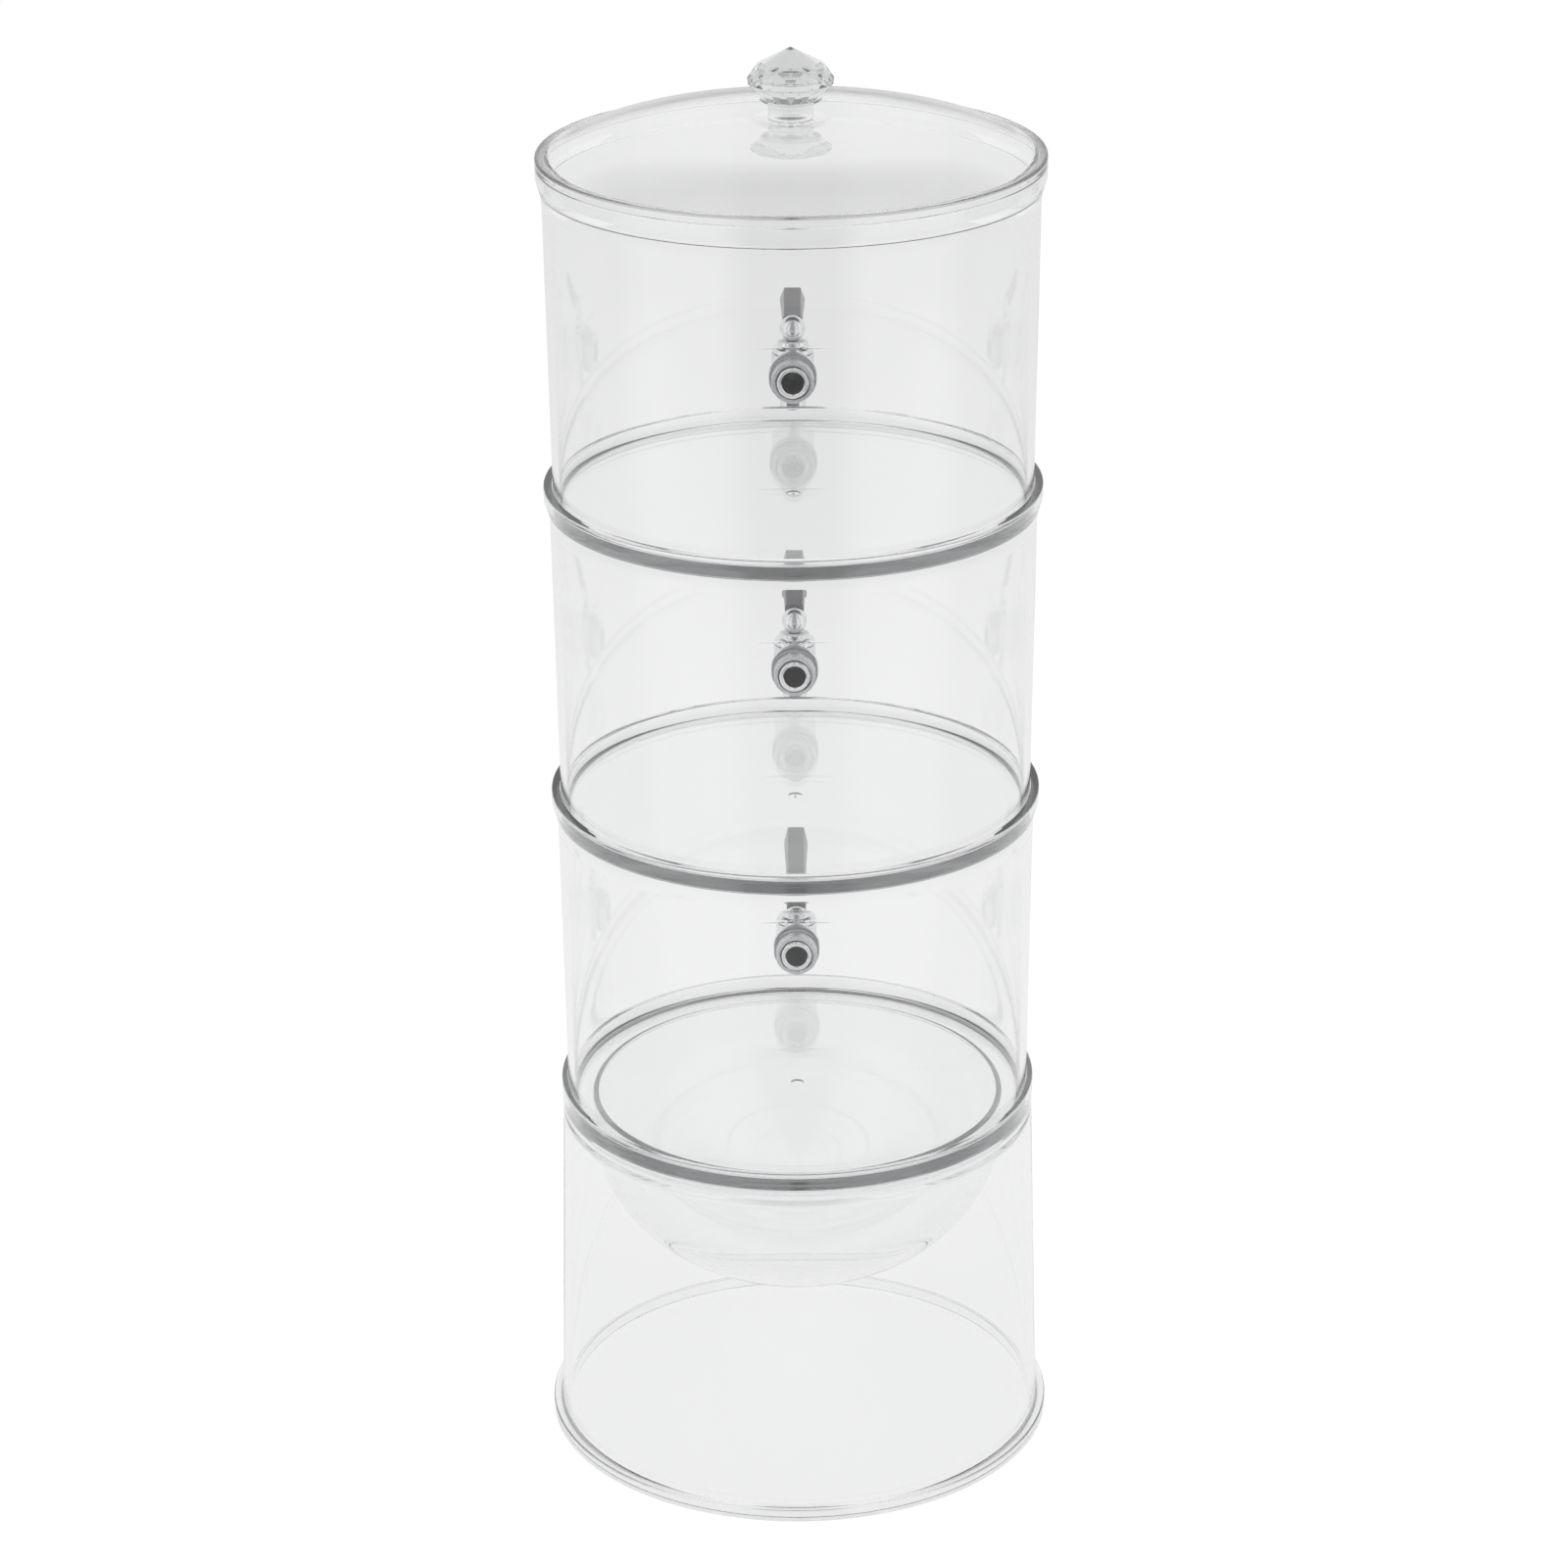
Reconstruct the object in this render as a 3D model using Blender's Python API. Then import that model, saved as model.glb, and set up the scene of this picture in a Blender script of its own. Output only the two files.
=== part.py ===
"""Clear stacking beverage dispenser.

Three identical clear tanks stand on a clear pedestal that holds an ice bowl.
Each tank has its own lever tap, and the top tank has a domed lid with a cut knob.
+Z is up and the taps point along +Y.
"""

import math
from itertools import product

import bmesh
import bpy
from mathutils import Matrix, Vector

# Fits
FACE_GAP = 0.0003
NEST_GAP = 0.0004
RIM_ROUND = 0.0007
OVERRUN = 0.002

# Stack
BASE_HEIGHT = 0.184
TIER_PITCH = 0.1535
SEAT_DEPTH = 0.010

# Tank
WALL = 0.003
TANK_FOOT_RADIUS = 0.1132
TANK_DRAFT = 0.0018
LIP_OVERHANG = 0.0027
LIP_FACE = 0.0055
FLARE_HEIGHT = 0.018
FLOOR_DROP = 0.005
FLOOR_FILLET = 0.002
MOUTH_CHAMFER = 0.0006

# Flat on the tank wall where the tap is clamped
FLAT_DEPTH = 0.0016
FLAT_REACH = 0.015
PAD_BACK_SHARE = 0.7
TAP_ABOVE_RIM = 0.0165

# Pedestal
BASE_TOP_STEP = 0.003
BASE_DRAFT = 0.004
BASE_LIP_OVERHANG = 0.0003
BASE_FLANGE_REACH = 0.0046
BASE_FLANGE_HEIGHT = 0.006
BASE_FLANGE_ROUND = 0.0008
BASE_FILLET = 0.0022
LEDGE_WIDTH = 0.003
LEDGE_HEIGHT = 0.003

# Ice bowl
BOWL_FLANGE_REACH = 0.0122
BOWL_WALL = 0.0025
BOWL_FLANGE = 0.0023
BOWL_NECK = 0.0137
BOWL_DEPTH = 0.079

# Lid
LID_FLANGE = 0.0042
LID_WALL = 0.0025
LID_SKIRT_GAP = 0.0006
DOME_INSET = 0.0002
DOME_RISE = 0.0150
DOME_POWER = 4
DOME_STEP = 0.0003
BOSS_RADIUS = 0.018
BOSS_HEIGHT = 0.0004
SOCKET_RADIUS = 0.0053
SOCKET_DEPTH = 0.0015

# Knob, heights above the boss that it is bonded to
KNOB_SPIGOT_RADIUS = 0.005
KNOB_NECK_RADIUS = 0.0104
KNOB_NECK_HEIGHT = 0.0078
KNOB_COLLAR_RADIUS = 0.0143
KNOB_COLLAR_HEIGHT = 0.0020
KNOB_GIRDLE_RADIUS = 0.0199
KNOB_GIRDLE_HEIGHT = 0.0185
KNOB_GIRDLE_BAND = 0.0022
KNOB_CROWN_RADIUS = 0.0164
KNOB_CROWN_HEIGHT = 0.0240
KNOB_TIP_HEIGHT = 0.0325
KNOB_FACETS = 8
KNOB_HALF_TURN_SHARE = 0.5

# Tap body, about the crossing of the shank's axis and the barrel's axis
SHANK_RADIUS = 0.0078
SHANK_BORE_RADIUS = 0.0055
SHANK_PAST_NUT = 0.0015
SHANK_NECK = 0.0045
NECK_RADIUS = 0.0066
CLAMP_FLANGE_RADIUS = 0.012
CLAMP_FLANGE = 0.0025
BARREL_RADIUS = 0.01075
BARREL_TOP = 0.007
BARREL_BOTTOM = -0.008
CAVITY_RADIUS = 0.0075
VALVE_SEAT = -0.007
SPOUT_END = -0.021
SPOUT_RADIUS = 0.0065
SPOUT_BORE_RADIUS = 0.0045
SPOUT_SHOULDER = 0.004

# Washers and nut
WASHER_RADIUS = 0.0118
WASHER_THICKNESS = 0.0018
NUT_ACROSS_FLATS = 0.021
NUT_THICKNESS = 0.0055
NUT_CHAMFER = 0.0012

# Bonnet
BONNET_PLUG = 0.0025
BONNET_FLOOR = 0.002
BONNET_SKIRT_RADIUS = 0.0104
BONNET_SKIRT_HEIGHT = 0.0010
BONNET_COLLAR_RADIUS = 0.0077
BONNET_COLLAR_HEIGHT = 0.0011
BONNET_TOP = 0.012
BONNET_WELL_RADIUS = 0.0065

# Lever
PIVOT_HEIGHT = 0.009
PIVOT_OFFSET = 0.004
PIN_RADIUS = 0.0008
PIN_RECESS = 0.0006
HUB_RADIUS = 0.0017
HUB_HALF_WIDTH = 0.0027
BALL_RADIUS = 0.0065
BALL_HEIGHT = 0.019
BLADE_HALF_WIDTH = 0.0018
BLADE_INNER = -0.0006
BLADE_OUTER = 0.0009
BLADE_TOP = 0.0075
TOE_LENGTH = 0.0049
TOE_HALF_THICKNESS = 0.0008
STEM_RADIUS = 0.0024
STEM_IN_GRIP = 0.010
GRIP_START = 0.0085
LEVER_LENGTH = 0.0445
GRIP_ROOT_WIDTH = 0.0099
GRIP_WIDTH = 0.0128
GRIP_TIP_WIDTH = 0.0090
GRIP_THICKNESS = 0.0062
GRIP_ROOT_BEVEL = 0.0010
GRIP_BEVEL = 0.00195
GRIP_TIP_BEVEL = 0.0006
GRIP_SHOULDER = 0.009

# Valve. The rod hangs from the toe on an axis a little below the pin.
HANG_DROP = 0.0007
ROD_RADIUS = 0.0012
ROD_HEAD_RADIUS = 0.0024
ROD_HEAD_HEIGHT = 0.001
ROD_SLOT_GAP = 0.0004
CUP_RADIUS = 0.0063
CUP_HEIGHT = 0.004
ROD_IN_CUP = 0.002
SPRING_RADIUS = 0.0036
SPRING_WIRE_RADIUS = 0.00045
SPRING_TURNS = 4

# How far each lever leans from upright, lowest tap first, in degrees
LEVER_LEANS = (66.0, 66.0, 83.0)
TIER_NAMES = ("lower", "middle", "upper")

# Facets
VESSEL_SIDES = 48
CUP_STEPS = 8
DOME_RINGS = 9
ROUND_SIDES = 20
SMALL_SIDES = 12
BALL_RINGS = 10
SPRING_POINTS_PER_TURN = 8
SHARP_ANGLE = math.radians(32)
FACET_ANGLE = math.radians(1)

# Outline shares of the flare below a lip: height share, overhang share
FLARE_SHARES = ((0.0, 0.0), (0.33, 0.12), (0.60, 0.45))
# Bonnet shoulder from skirt to collar: height share, radius share
SHOULDER_SHARES = ((0.0, 0.0), (0.45, 0.22), (0.80, 0.62), (1.0, 1.0))


# Places worked out from the sizes above

def rim_height(tier):
    """Height of the rim that tier number `tier` stands in; tier 0 stands in the pedestal."""
    return BASE_HEIGHT + tier * TIER_PITCH


TANK_TOP_RADIUS = TANK_FOOT_RADIUS + TANK_DRAFT
BASE_TOP_RADIUS = TANK_FOOT_RADIUS + BASE_TOP_STEP
BASE_FOOT_RADIUS = BASE_TOP_RADIUS + BASE_DRAFT
BASE_FLANGE_RADIUS = BASE_FOOT_RADIUS + BASE_FLANGE_REACH
BOWL_RADIUS = TANK_FOOT_RADIUS - BOWL_FLANGE_REACH
DOME_RADIUS = TANK_FOOT_RADIUS - DOME_INSET

TANK_HEIGHT = TIER_PITCH + SEAT_DEPTH - FACE_GAP
MOUTH_RADIUS = TANK_FOOT_RADIUS + NEST_GAP
FLOOR_TOP = SEAT_DEPTH - FACE_GAP - FLOOR_DROP
TAP_HEIGHT = SEAT_DEPTH - FACE_GAP + TAP_ABOVE_RIM


def tank_radius_at(height):
    """Outer radius of the tank wall at a height above its foot."""
    share = height / (TANK_HEIGHT - FLARE_HEIGHT)
    return TANK_FOOT_RADIUS + (TANK_TOP_RADIUS - TANK_FOOT_RADIUS) * share


FLAT_OUTER = tank_radius_at(TAP_HEIGHT) - FLAT_DEPTH
FLAT_INNER = FLAT_OUTER - WALL
FLANGE_FACE = FLAT_OUTER + FACE_GAP + WASHER_THICKNESS + FACE_GAP
TAP_OUT = FLANGE_FACE + CLAMP_FLANGE + SHANK_NECK + BARREL_RADIUS
INNER_WASHER_FACE = FLAT_INNER - FACE_GAP
NUT_FACE = INNER_WASHER_FACE - WASHER_THICKNESS - FACE_GAP
SHANK_END = NUT_FACE - NUT_THICKNESS - SHANK_PAST_NUT
CLAMP_HOLE_RADIUS = SHANK_RADIUS + FACE_GAP

BONNET_BASE = BARREL_TOP - BONNET_PLUG
WELL_FLOOR = BONNET_BASE + BONNET_FLOOR
PIN_HOLE_RADIUS = PIN_RADIUS + FACE_GAP
ROD_HOLE_RADIUS = ROD_RADIUS + FACE_GAP
HANG_HEIGHT = PIVOT_HEIGHT - HANG_DROP
ROD_HEAD_BASE = PIVOT_HEIGHT + TOE_HALF_THICKNESS + FACE_GAP
CUP_BASE = VALVE_SEAT + FACE_GAP
CUP_TOP = CUP_BASE + CUP_HEIGHT
ROD_END = CUP_TOP - ROD_IN_CUP


# Making and joining meshes

def clear_scene():
    for item in list(bpy.data.objects):
        bpy.data.objects.remove(item, do_unlink=True)


def make_material(name, color, roughness, metallic=0.0, alpha=1.0):
    material = bpy.data.materials.new(name)
    material.use_nodes = True
    shader = material.node_tree.nodes["Principled BSDF"]
    shader.inputs["Base Color"].default_value = (*color, 1.0)
    shader.inputs["Roughness"].default_value = roughness
    shader.inputs["Metallic"].default_value = metallic
    shader.inputs["Alpha"].default_value = alpha
    return material


def make_object(name, mesh_tool, material=None, parent=None, place=(0, 0, 0)):
    """Turns a bmesh into a smooth shaded object with its faces pointing out."""
    bmesh.ops.recalc_face_normals(mesh_tool, faces=mesh_tool.faces)
    if mesh_tool.calc_volume(signed=True) < 0:
        bmesh.ops.reverse_faces(mesh_tool, faces=mesh_tool.faces)
    mesh = bpy.data.meshes.new(name)
    mesh_tool.to_mesh(mesh)
    mesh_tool.free()
    item = bpy.data.objects.new(name, mesh)
    bpy.context.scene.collection.objects.link(item)
    if material:
        mesh.materials.append(material)
    item.parent = parent
    item.location = place
    mesh.shade_smooth()
    mesh.set_sharp_from_angle(angle=SHARP_ANGLE)
    return item


def make_empty(name, parent=None, place=(0, 0, 0)):
    item = bpy.data.objects.new(name, None)
    bpy.context.scene.collection.objects.link(item)
    item.parent = parent
    item.location = place
    return item


def turned(outline, sides):
    """A solid turned about Z from a closed outline of (radius, height) points."""
    tool = bmesh.new()
    points = [tool.verts.new((radius, 0, height)) for radius, height in outline]
    edges = [tool.edges.new((a, b)) for a, b in zip(points, points[1:])]
    if outline[0][0] > 0 or outline[-1][0] > 0:
        edges.append(tool.edges.new((points[-1], points[0])))
    bmesh.ops.spin(
        tool,
        geom=points + edges,
        cent=(0, 0, 0),
        axis=(0, 0, 1),
        angle=math.tau,
        steps=sides,
        use_merge=True,
    )
    merge_distance = min(FACE_GAP, RIM_ROUND) / sides
    bmesh.ops.remove_doubles(tool, verts=tool.verts, dist=merge_distance)
    bmesh.ops.dissolve_degenerate(tool, edges=tool.edges, dist=merge_distance)
    return tool


def ring(outer, inner, low, high):
    """Outline of a plain tube."""
    return [(inner, low), (outer, low), (outer, high), (inner, high)]


def disc(radius, low, high):
    """Outline of a plain cylinder."""
    return [(0, low), (radius, low), (radius, high), (0, high)]


def block(low, high):
    """A box between two corners."""
    tool = bmesh.new()
    for corner in product(*zip(low, high)):
        tool.verts.new(corner)
    bmesh.ops.convex_hull(tool, input=tool.verts)
    return tool


def turned_along(outline, sides, axis, place=(0, 0, 0)):
    """A turned solid whose own axis points along `axis` from `place`."""
    tool = turned(outline, sides)
    turn = Vector((0, 0, 1)).rotation_difference(Vector(axis)).to_matrix().to_4x4()
    bmesh.ops.transform(tool, matrix=Matrix.Translation(place) @ turn, verts=tool.verts)
    return tool


def combine(item, tool, operation):
    """Joins, cuts or intersects `item` with the solid in `tool` and keeps the plain result."""
    other = make_object("tool", tool)
    other.hide_render = True
    other.display_type = "WIRE"
    # The tool is modelled in the item's own frame
    other.parent = item
    step = item.modifiers.new("step", "BOOLEAN")
    step.object = other
    step.operation = operation
    step.solver = "EXACT"
    bpy.context.view_layer.update()
    graph = bpy.context.evaluated_depsgraph_get()
    result = bpy.data.meshes.new_from_object(item.evaluated_get(graph))
    item.modifiers.remove(step)
    old = item.data
    item.data = result
    bpy.data.meshes.remove(old)
    bpy.data.objects.remove(other, do_unlink=True)
    result.shade_smooth()
    result.set_sharp_from_angle(angle=SHARP_ANGLE)
    return item


def cup_curve(brim_height, radius, depth):
    """Points of a rounded cup's outline, from its lowest point up to its brim."""
    points = []
    for step in range(CUP_STEPS + 1):
        angle = math.pi / 2 * step / CUP_STEPS
        points.append((radius * math.sin(angle), brim_height - depth * math.cos(angle)))
    return points


# Vessels

def lip_outline(height, wall_radius, overhang):
    """Outer face, rounded rim and mouth of a vessel, from the flare up and in."""
    flare = FLARE_HEIGHT - LIP_FACE
    points = []
    for up_share, out_share in FLARE_SHARES:
        points.append((wall_radius + overhang * out_share, height - FLARE_HEIGHT + flare * up_share))
    points.append((wall_radius + overhang, height - LIP_FACE))
    points.append((wall_radius + overhang, height - RIM_ROUND))
    points.append((wall_radius + overhang - RIM_ROUND, height))
    points.append((MOUTH_RADIUS + MOUTH_CHAMFER, height))
    points.append((MOUTH_RADIUS, height - MOUTH_CHAMFER))
    return points


def tank(tier, material, root):
    """A clear tank with a flared lip, a seat for the next foot and a flat for the tap."""
    inner_foot = TANK_FOOT_RADIUS - WALL
    outline = [(0, 0), (TANK_FOOT_RADIUS, 0)]
    outline += lip_outline(TANK_HEIGHT, TANK_TOP_RADIUS, LIP_OVERHANG)
    outline += [(MOUTH_RADIUS, TANK_HEIGHT - SEAT_DEPTH)]
    outline += [(TANK_TOP_RADIUS - WALL, TANK_HEIGHT - SEAT_DEPTH)]
    outline += [(inner_foot, FLOOR_TOP + FLOOR_FILLET)]
    outline += [(inner_foot - FLOOR_FILLET, FLOOR_TOP), (0, FLOOR_TOP)]
    place = (0, 0, rim_height(tier) - SEAT_DEPTH + FACE_GAP)
    item = make_object("tank_" + TIER_NAMES[tier], turned(outline, VESSEL_SIDES), material, root, place)
    inner_radius = tank_radius_at(TAP_HEIGHT) - WALL
    half_pad = math.sqrt(inner_radius ** 2 - FLAT_INNER ** 2)
    pad_back = FLAT_INNER + (FLAT_OUTER - FLAT_INNER) * PAD_BACK_SHARE
    pad_low = (-half_pad, FLAT_INNER, FLOOR_TOP / 2)
    pad_high = (half_pad, pad_back, TAP_HEIGHT + FLAT_REACH)
    combine(item, block(pad_low, pad_high), "UNION")
    cut_low = (-2 * half_pad, FLAT_OUTER, TAP_HEIGHT - FLAT_REACH)
    cut_high = (2 * half_pad, TANK_TOP_RADIUS + WALL, TAP_HEIGHT + FLAT_REACH)
    combine(item, block(cut_low, cut_high), "DIFFERENCE")
    hole = disc(CLAMP_HOLE_RADIUS, FLAT_INNER - OVERRUN, FLAT_OUTER + OVERRUN)
    combine(item, turned_along(hole, ROUND_SIDES, (0, 1, 0), (0, 0, TAP_HEIGHT)), "DIFFERENCE")
    return item


def pedestal(material, root):
    """A clear open stand with a foot flange and a ledge inside its mouth for the bowl."""
    ledge = BASE_HEIGHT - SEAT_DEPTH - BOWL_FLANGE - FACE_GAP
    inner_foot = BASE_FOOT_RADIUS - WALL
    inner_top = BASE_TOP_RADIUS - WALL
    ledge_radius = inner_top - LEDGE_WIDTH
    flange_in = BASE_FLANGE_RADIUS - BASE_FLANGE_ROUND
    outline = [(inner_foot, 0), (flange_in, 0), (BASE_FLANGE_RADIUS, BASE_FLANGE_ROUND)]
    outline += [(BASE_FLANGE_RADIUS, BASE_FLANGE_HEIGHT - BASE_FLANGE_ROUND)]
    outline += [(flange_in, BASE_FLANGE_HEIGHT)]
    outline += [(BASE_FOOT_RADIUS + BASE_FILLET / 2, BASE_FLANGE_HEIGHT + BASE_FILLET / 4)]
    outline += [(BASE_FOOT_RADIUS, BASE_FLANGE_HEIGHT + BASE_FILLET)]
    outline += lip_outline(BASE_HEIGHT, BASE_TOP_RADIUS, BASE_LIP_OVERHANG)
    outline += [(MOUTH_RADIUS, ledge), (ledge_radius, ledge), (ledge_radius, ledge - LEDGE_HEIGHT)]
    outline += [(inner_top, ledge - 2 * LEDGE_HEIGHT)]
    return make_object("base_pedestal", turned(outline, VESSEL_SIDES), material, root)


def ice_bowl(material, root):
    """A clear rounded bowl whose flange hangs on the pedestal's ledge."""
    top = BASE_HEIGHT - SEAT_DEPTH
    flange_low = top - BOWL_FLANGE
    centre = flange_low - BOWL_NECK
    outline = cup_curve(centre, BOWL_RADIUS, BOWL_DEPTH)
    outline += [(BOWL_RADIUS, flange_low), (TANK_FOOT_RADIUS, flange_low), (TANK_FOOT_RADIUS, top)]
    outline += [(BOWL_RADIUS - BOWL_WALL, top)]
    outline += reversed(cup_curve(centre, BOWL_RADIUS - BOWL_WALL, BOWL_DEPTH - BOWL_WALL))
    return make_object("ice_bowl", turned(outline, VESSEL_SIDES), material, root)


def dome_height(radius, base_radius):
    """Height of the full dome over its own base, at a distance from its axis."""
    return DOME_RISE * (1 - (radius / base_radius) ** DOME_POWER)


def dome_curve(base_radius, base_height, start_radius):
    """Points of the dome from start_radius out to base_radius, closer together near the rim."""
    points = []
    for ring_number in range(DOME_RINGS + 1):
        share = math.sqrt(ring_number / DOME_RINGS)
        radius = start_radius + (base_radius - start_radius) * share
        points.append((radius, base_height + dome_height(radius, base_radius)))
    return points


def lid_top():
    """Height of the lid's flat rim."""
    return rim_height(len(TIER_NAMES)) + FACE_GAP + LID_FLANGE


def boss_top():
    """Height of the boss that carries the knob."""
    return lid_top() + DOME_STEP + dome_height(BOSS_RADIUS, DOME_RADIUS) + BOSS_HEIGHT


def lid(material, root):
    """A clear domed lid: flat rim, skirt that drops into the top tank, boss for the knob."""
    rim = rim_height(len(TIER_NAMES))
    under = rim + FACE_GAP
    top = lid_top()
    edge = TANK_TOP_RADIUS + LIP_OVERHANG
    skirt_end = rim - SEAT_DEPTH + LID_SKIRT_GAP
    skirt_inner = TANK_FOOT_RADIUS - LID_WALL
    outline = [(0, boss_top() - SOCKET_DEPTH), (SOCKET_RADIUS, boss_top() - SOCKET_DEPTH)]
    outline += [(SOCKET_RADIUS, boss_top()), (BOSS_RADIUS - BOSS_HEIGHT, boss_top())]
    outline += dome_curve(DOME_RADIUS, top + DOME_STEP, BOSS_RADIUS)
    outline += [(DOME_RADIUS + DOME_STEP, top), (edge - RIM_ROUND, top), (edge, top - RIM_ROUND)]
    outline += [(edge, under + RIM_ROUND), (edge - RIM_ROUND, under), (TANK_FOOT_RADIUS, under)]
    outline += [(TANK_FOOT_RADIUS, skirt_end), (skirt_inner, skirt_end), (skirt_inner, under)]
    outline += reversed(dome_curve(DOME_RADIUS - LID_WALL, top + DOME_STEP - LID_WALL, 0))
    return make_object("lid", turned(outline, VESSEL_SIDES), material, root)


def knob(material, root):
    """A clear knob cut like a jewel, on a round neck with a spigot bonded into the lid."""
    place = (0, 0, boss_top() + FACE_GAP)
    collar_low = KNOB_NECK_HEIGHT
    collar_high = KNOB_NECK_HEIGHT + KNOB_COLLAR_HEIGHT
    outline = [(0, -SOCKET_DEPTH), (KNOB_SPIGOT_RADIUS, -SOCKET_DEPTH), (KNOB_SPIGOT_RADIUS, 0)]
    outline += [(KNOB_NECK_RADIUS, 0), (KNOB_NECK_RADIUS, collar_low), (KNOB_COLLAR_RADIUS, collar_low)]
    outline += [(KNOB_COLLAR_RADIUS, collar_high), (0, collar_high)]
    item = make_object("lid_knob", turned(outline, ROUND_SIDES), material, root, place)
    tool = bmesh.new()
    fine = 2 * KNOB_FACETS
    rings = (
        (KNOB_COLLAR_RADIUS, collar_high - KNOB_COLLAR_HEIGHT / 2, fine, 0),
        (KNOB_GIRDLE_RADIUS, KNOB_GIRDLE_HEIGHT - KNOB_GIRDLE_BAND, fine, KNOB_HALF_TURN_SHARE),
        (KNOB_GIRDLE_RADIUS, KNOB_GIRDLE_HEIGHT, fine, 0),
        (KNOB_CROWN_RADIUS, KNOB_CROWN_HEIGHT, KNOB_FACETS, KNOB_HALF_TURN_SHARE),
    )
    for radius, height, count, turn_share in rings:
        for index in range(count):
            angle = math.tau * (index + turn_share) / count - math.pi / 2
            tool.verts.new((radius * math.cos(angle), radius * math.sin(angle), height))
    tool.verts.new((0, 0, KNOB_TIP_HEIGHT))
    bmesh.ops.convex_hull(tool, input=tool.verts)
    combine(item, tool, "UNION")
    item.data.set_sharp_from_angle(angle=FACET_ANGLE)
    return item


# Tap pieces. Each is modelled about the crossing of the tap's two axes.

def tap_body(name, material, frame):
    """Threaded shank, clamping flange, barrel and spout in one casting."""
    barrel = [(0, SPOUT_END), (SPOUT_RADIUS, SPOUT_END)]
    barrel += [(SPOUT_RADIUS, BARREL_BOTTOM - SPOUT_SHOULDER), (BARREL_RADIUS, BARREL_BOTTOM)]
    barrel += [(BARREL_RADIUS, BARREL_TOP), (0, BARREL_TOP)]
    item = make_object(name, turned(barrel, ROUND_SIDES), material, frame)
    flange_low = FLANGE_FACE - TAP_OUT
    neck = disc(NECK_RADIUS, flange_low, 0)
    combine(item, turned_along(neck, ROUND_SIDES, (0, 1, 0)), "UNION")
    shank = disc(SHANK_RADIUS, SHANK_END - TAP_OUT, flange_low + CLAMP_FLANGE / 2)
    combine(item, turned_along(shank, ROUND_SIDES, (0, 1, 0)), "UNION")
    flange = disc(CLAMP_FLANGE_RADIUS, flange_low, flange_low + CLAMP_FLANGE)
    combine(item, turned_along(flange, ROUND_SIDES, (0, 1, 0)), "UNION")
    cavity = [(0, SPOUT_END - OVERRUN), (SPOUT_BORE_RADIUS, SPOUT_END - OVERRUN)]
    cavity += [(SPOUT_BORE_RADIUS, VALVE_SEAT), (CAVITY_RADIUS, VALVE_SEAT)]
    cavity += [(CAVITY_RADIUS, BARREL_TOP + OVERRUN), (0, BARREL_TOP + OVERRUN)]
    combine(item, turned(cavity, ROUND_SIDES), "DIFFERENCE")
    bore = disc(SHANK_BORE_RADIUS, SHANK_END - TAP_OUT - OVERRUN, 0)
    combine(item, turned_along(bore, ROUND_SIDES, (0, 1, 0)), "DIFFERENCE")
    return item


def washer(name, face, material, frame):
    """A soft sealing washer whose outward face lies at `face` from the dispenser's axis."""
    outline = ring(WASHER_RADIUS, CLAMP_HOLE_RADIUS, -WASHER_THICKNESS, 0)
    place = (0, face - TAP_OUT, 0)
    return make_object(name, turned_along(outline, ROUND_SIDES, (0, 1, 0)), material, frame, place)


def lock_nut(name, material, frame):
    """A hexagon nut with turned corners, inside the tank."""
    corner = NUT_ACROSS_FLATS / math.sqrt(3)
    place = (0, NUT_FACE - TAP_OUT, 0)
    prism = disc(corner, -NUT_THICKNESS, 0)
    item = make_object(name, turned_along(prism, 6, (0, 1, 0)), material, frame, place)
    item.data.transform(Matrix.Rotation(math.pi / 6, 4, "Y"))
    low_turn = [(0, -NUT_THICKNESS), (corner - NUT_CHAMFER, -NUT_THICKNESS)]
    turn = low_turn + [(corner + NUT_CHAMFER, NUT_CHAMFER), (0, NUT_CHAMFER)]
    combine(item, turned_along(turn, ROUND_SIDES, (0, 1, 0)), "INTERSECT")
    hole = disc(CLAMP_HOLE_RADIUS, -NUT_THICKNESS - OVERRUN, OVERRUN)
    combine(item, turned_along(hole, ROUND_SIDES, (0, 1, 0)), "DIFFERENCE")
    return item


def bonnet(name, material, frame):
    """The cap screwed into the barrel. Its well holds the lever's hub on a cross pin."""
    seat = BARREL_TOP + FACE_GAP
    outline = [(ROD_HOLE_RADIUS, BONNET_BASE), (CAVITY_RADIUS - FACE_GAP, BONNET_BASE)]
    outline += [(CAVITY_RADIUS - FACE_GAP, seat), (BONNET_SKIRT_RADIUS, seat)]
    skirt_top = seat + BONNET_SKIRT_HEIGHT
    collar_low = BONNET_TOP - BONNET_COLLAR_HEIGHT
    for up_share, in_share in SHOULDER_SHARES:
        radius = BONNET_SKIRT_RADIUS + (BONNET_COLLAR_RADIUS - BONNET_SKIRT_RADIUS) * in_share
        outline.append((radius, skirt_top + (collar_low - skirt_top) * up_share))
    outline += [(BONNET_COLLAR_RADIUS, BONNET_TOP), (BONNET_WELL_RADIUS, BONNET_TOP)]
    outline += [(BONNET_WELL_RADIUS, WELL_FLOOR), (ROD_HOLE_RADIUS, WELL_FLOOR)]
    item = make_object(name, turned(outline, ROUND_SIDES), material, frame)
    hole = disc(PIN_HOLE_RADIUS, -BARREL_RADIUS - OVERRUN, BARREL_RADIUS + OVERRUN)
    place = (0, PIVOT_OFFSET, PIVOT_HEIGHT)
    combine(item, turned_along(hole, SMALL_SIDES, (1, 0, 0), place), "DIFFERENCE")
    return item


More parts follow.
